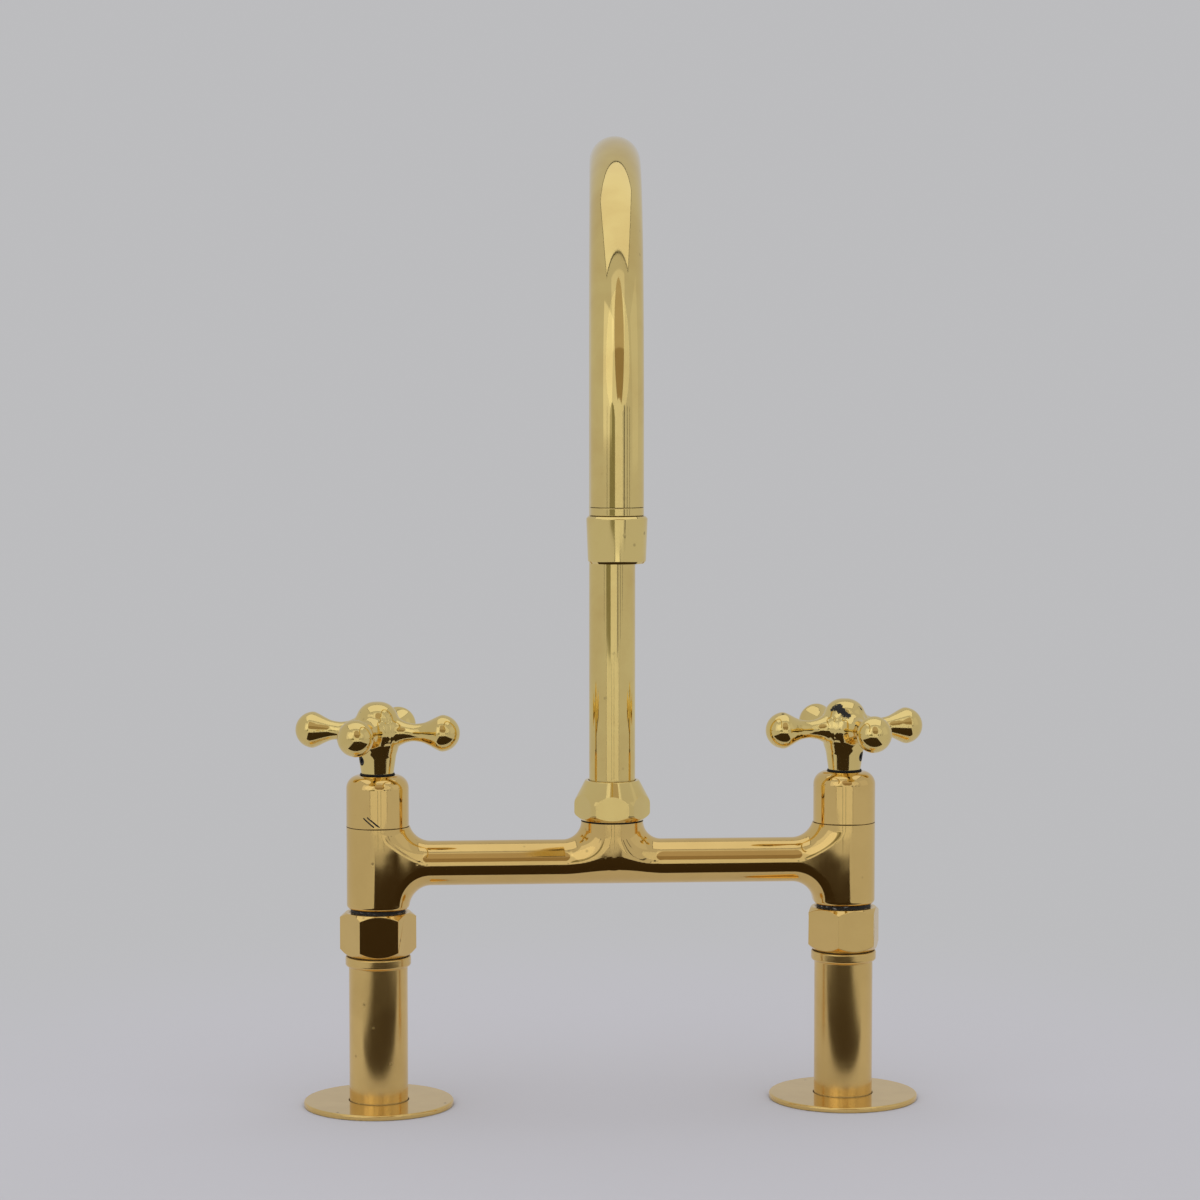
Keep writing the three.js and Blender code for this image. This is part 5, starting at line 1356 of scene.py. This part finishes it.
class FAUCET_OT_stage(bpy.types.Operator):
    """Set up the pale floor, the soft lights and the camera at the photograph's angle"""

    bl_idname = "faucet.stage"
    bl_label = "Stage"

    def execute(self, context):
        self.floor()
        self.cards()
        self.lights()
        self.camera()
        return {"FINISHED"}

    def sheet(self, name, colour, far=None):
        """A stage material, plain but for a faint unevenness, which may pass into another colour far away."""
        material, shade = new_material(name)
        soft = shade.noise(shade.place(), 3, 2, 0.4)
        uneven = shade.mixed(soft, rgba(colour), rgba([channel * 0.98 for channel in colour]))
        inputs = {"Base Color": uneven, "Roughness": 0.8, "Specular IOR Level": 0}
        surface = shade.add("BsdfPrincipled", inputs)[0]
        if far is not None:
            fade = shade.ramp(shade.vectors("LENGTH", shade.place())["Value"], 0.12, 0.55, "SMOOTHERSTEP")
            glow = shade.add("Emission", {"Color": rgba(far)})[0]
            surface = shade.add("MixShader", {0: fade, 1: surface, 2: glow})[0]
        shade.add("OutputMaterial", {"Surface": surface})
        return material

    def floor(self):
        floor = added(bpy.ops.mesh.primitive_plane_add, size=160, location=(0, 0, 0))
        floor.name = "pale_floor"
        floor.data.materials.append(self.sheet("pale_floor", finish().floor, finish().backdrop))

    def card(self, name, colour, size, place, upright=True, sides=4):
        """A card that only the reflections see, with four sides or an oval."""
        radius = 0.5 / math.cos(math.pi / sides)
        card = added(bpy.ops.mesh.primitive_circle_add, vertices=sides, radius=radius, fill_type="NGON")
        card.name = name
        card.rotation_euler = (0, 0, math.pi / sides)
        bpy.ops.object.transform_apply(location=False, rotation=True, scale=False)
        card.scale = (*size, 1)
        card.location = place
        if upright:
            card.rotation_euler = (math.pi / 2, 0, 0)
        close_up(card)
        card.data.materials.append(self.sheet(name, colour))
        card.visible_camera = card.visible_diffuse = card.visible_shadow = card.visible_transmission = False

    def cards(self):
        """Pale and dark cards, before the faucet and over it, for the brass to show."""
        dark, brown, pale = (0.05, 0.045, 0.035), (0.40, 0.31, 0.20), (0.90, 0.90, 0.87)
        shadow, olive = (0.036, 0.024, 0.0125), (0.30, 0.29, 0.20)
        self.card("dark_low_card", shadow, (0.49, 0.655), (0.005, -0.393, 0.0015), upright=False)
        self.card("pale_low_card", pale, (0.97, 0.12), (-0.035, -0.82, 0.06))
        self.card("pale_wide_oval", pale, (6.0, 2.9), (-0.1, -2.4, 1.75), sides=64)
        self.card("brown_oval", brown, (1.8, 3.2), (0.255, -2.3, 2.0), sides=64)
        self.card("olive_oval", olive, (1.04, 0.8), (-0.95, -2.21, 0.1), sides=64)
        self.card("pale_oval", pale, (1.20, 0.9), (0.13, -2.2, 0.1), sides=64)
        self.card("pale_floor_card", pale, (0.54, 1.2), (-0.09, -1.55, 0.0015), upright=False)
        for k, x in enumerate((-0.52, -0.095, 0.067, 0.45)):
            self.card(f"dark_low_strip_{k}", dark, (0.014, 0.12), (x, -0.81, 0.06))
        for k, (x, wide) in enumerate(((-0.41, 0.05), (0.24, 0.04))):
            self.card(f"dark_floor_strip_{k}", dark, (wide, 1.2), (x, -1.55, 0.003), upright=False)
        for k, (x, wide) in enumerate(((-2.1, 0.10), (0.95, 0.14), (1.6, 0.10), (2.4, 0.12))):
            self.card(f"dark_strip_{k}", dark, (wide, 0.45), (x, -2.15, 0.225))
        frame_sides = (
            (0, 0.97, 2.68, 0.04), (0, -0.77, 2.68, 0.04), (-1.32, 0.1, 0.04, 1.7), (1.32, 0.1, 0.04, 1.7),
        )
        for k, (x, y, wide, deep) in enumerate(frame_sides):
            self.card(f"dark_frame_{k}", dark, (wide, deep), (x, y, 1.89), upright=False)

    def lights(self):
        world = bpy.data.worlds.new("studio")
        bpy.context.scene.world = world
        world.use_nodes = True
        shade = Shading(world.node_tree)
        rays = shade.add("LightPath")
        shown = shade.plus(rays["Is Camera Ray"], rays["Is Glossy Ray"])
        shown = shade.plus(shown, rays["Is Transmission Ray"], clamp=True)
        background = world.node_tree.nodes["Background"].inputs
        room_light = (0.93, 0.93, 0.94, 1)
        seen_colour = shade.mixed(shown, room_light, rgba(finish().backdrop))
        world.node_tree.links.new(seen_colour, background["Color"])
        background["Strength"].default_value = 1.0
        middle = Vector((0, 0, 0.15))
        for name, place, target, wide, deep, radiance in (
            ("left_window", (-1.35, -1.5, 0.95), middle, 1.5, 1.5, 0.22),
            ("right_window", (1.9, -0.5, 0.8), middle, 1.2, 1.2, 0.06),
            ("softbox", (0.05, -1.35, 1.45), middle, 1.5, 1.0, 0.15),
            ("ceiling_panel", (0.0, 0.1, 1.9), Vector((0.0, 0.1, 0.9)), 2.6, 1.7, 0.3),
        ):
            lamp = bpy.data.lights.new(name, "AREA")
            lamp.shape, lamp.size, lamp.size_y = "RECTANGLE", wide, deep
            lamp.energy = radiance * math.pi * wide * deep
            holder = bpy.data.objects.new(name, lamp)
            bpy.context.scene.collection.objects.link(holder)
            holder.location = place
            holder.rotation_euler = (target - Vector(place)).to_track_quat("-Z", "Y").to_euler()
            holder.visible_camera = False

    def camera(self):
        lens = bpy.data.cameras.new("camera")
        lens.sensor_width = 36
        lens.lens = 95.4
        camera = bpy.data.objects.new("camera", lens)
        bpy.context.scene.collection.objects.link(camera)
        azimuth, pitch, aside = math.radians(-4.4), math.radians(3.79), math.radians(0.22)
        post_distance, height = 1.372, 0.310
        camera.location = (post_distance * math.sin(azimuth), -post_distance * math.cos(azimuth), height)
        camera.rotation_euler = (math.pi / 2 - pitch, 0, azimuth + aside)
        bpy.context.scene.camera = camera
        bpy.context.scene.view_settings.view_transform = "Standard"


class FAUCET_PT_pieces(bpy.types.Panel):
    """The faucet's pieces, in the order in which they are made"""

    bl_idname = "FAUCET_PT_pieces"
    bl_label = "Bridge faucet"
    bl_space_type = "VIEW_3D"
    bl_region_type = "UI"
    bl_category = "Faucet"

    def draw(self, context):
        for operator in PIECES:
            self.layout.operator(operator.bl_idname)
        for settings in (context.scene.faucet_sizes, context.scene.faucet_finish):
            box = self.layout.box()
            for key in type(settings).__annotations__:
                box.prop(settings, key)


PIECES = (
    FAUCET_OT_inner_finishes,
    FAUCET_OT_legs,
    FAUCET_OT_union_nuts,
    FAUCET_OT_bridge,
    FAUCET_OT_union_threads,
    FAUCET_OT_bonnets,
    FAUCET_OT_handles,
    FAUCET_OT_set_screws,
    FAUCET_OT_spout_nut,
    FAUCET_OT_gooseneck,
    FAUCET_OT_outlet,
    FAUCET_OT_under_deck,
    FAUCET_OT_stage,
)
CLASSES = (FaucetSizes, FaucetFinish, *PIECES, FAUCET_PT_pieces)


def register():
    for item in CLASSES:
        bpy.utils.register_class(item)
    bpy.types.Scene.faucet_sizes = bpy.props.PointerProperty(type=FaucetSizes)
    bpy.types.Scene.faucet_finish = bpy.props.PointerProperty(type=FaucetFinish)


def unregister():
    del bpy.types.Scene.faucet_finish
    del bpy.types.Scene.faucet_sizes
    for item in reversed(CLASSES):
        bpy.utils.unregister_class(item)


def main():
    register()
    for operator in PIECES:
        group, name = operator.bl_idname.split(".")
        getattr(getattr(bpy.ops, group), name)()


if __name__ == "__main__":
    main()
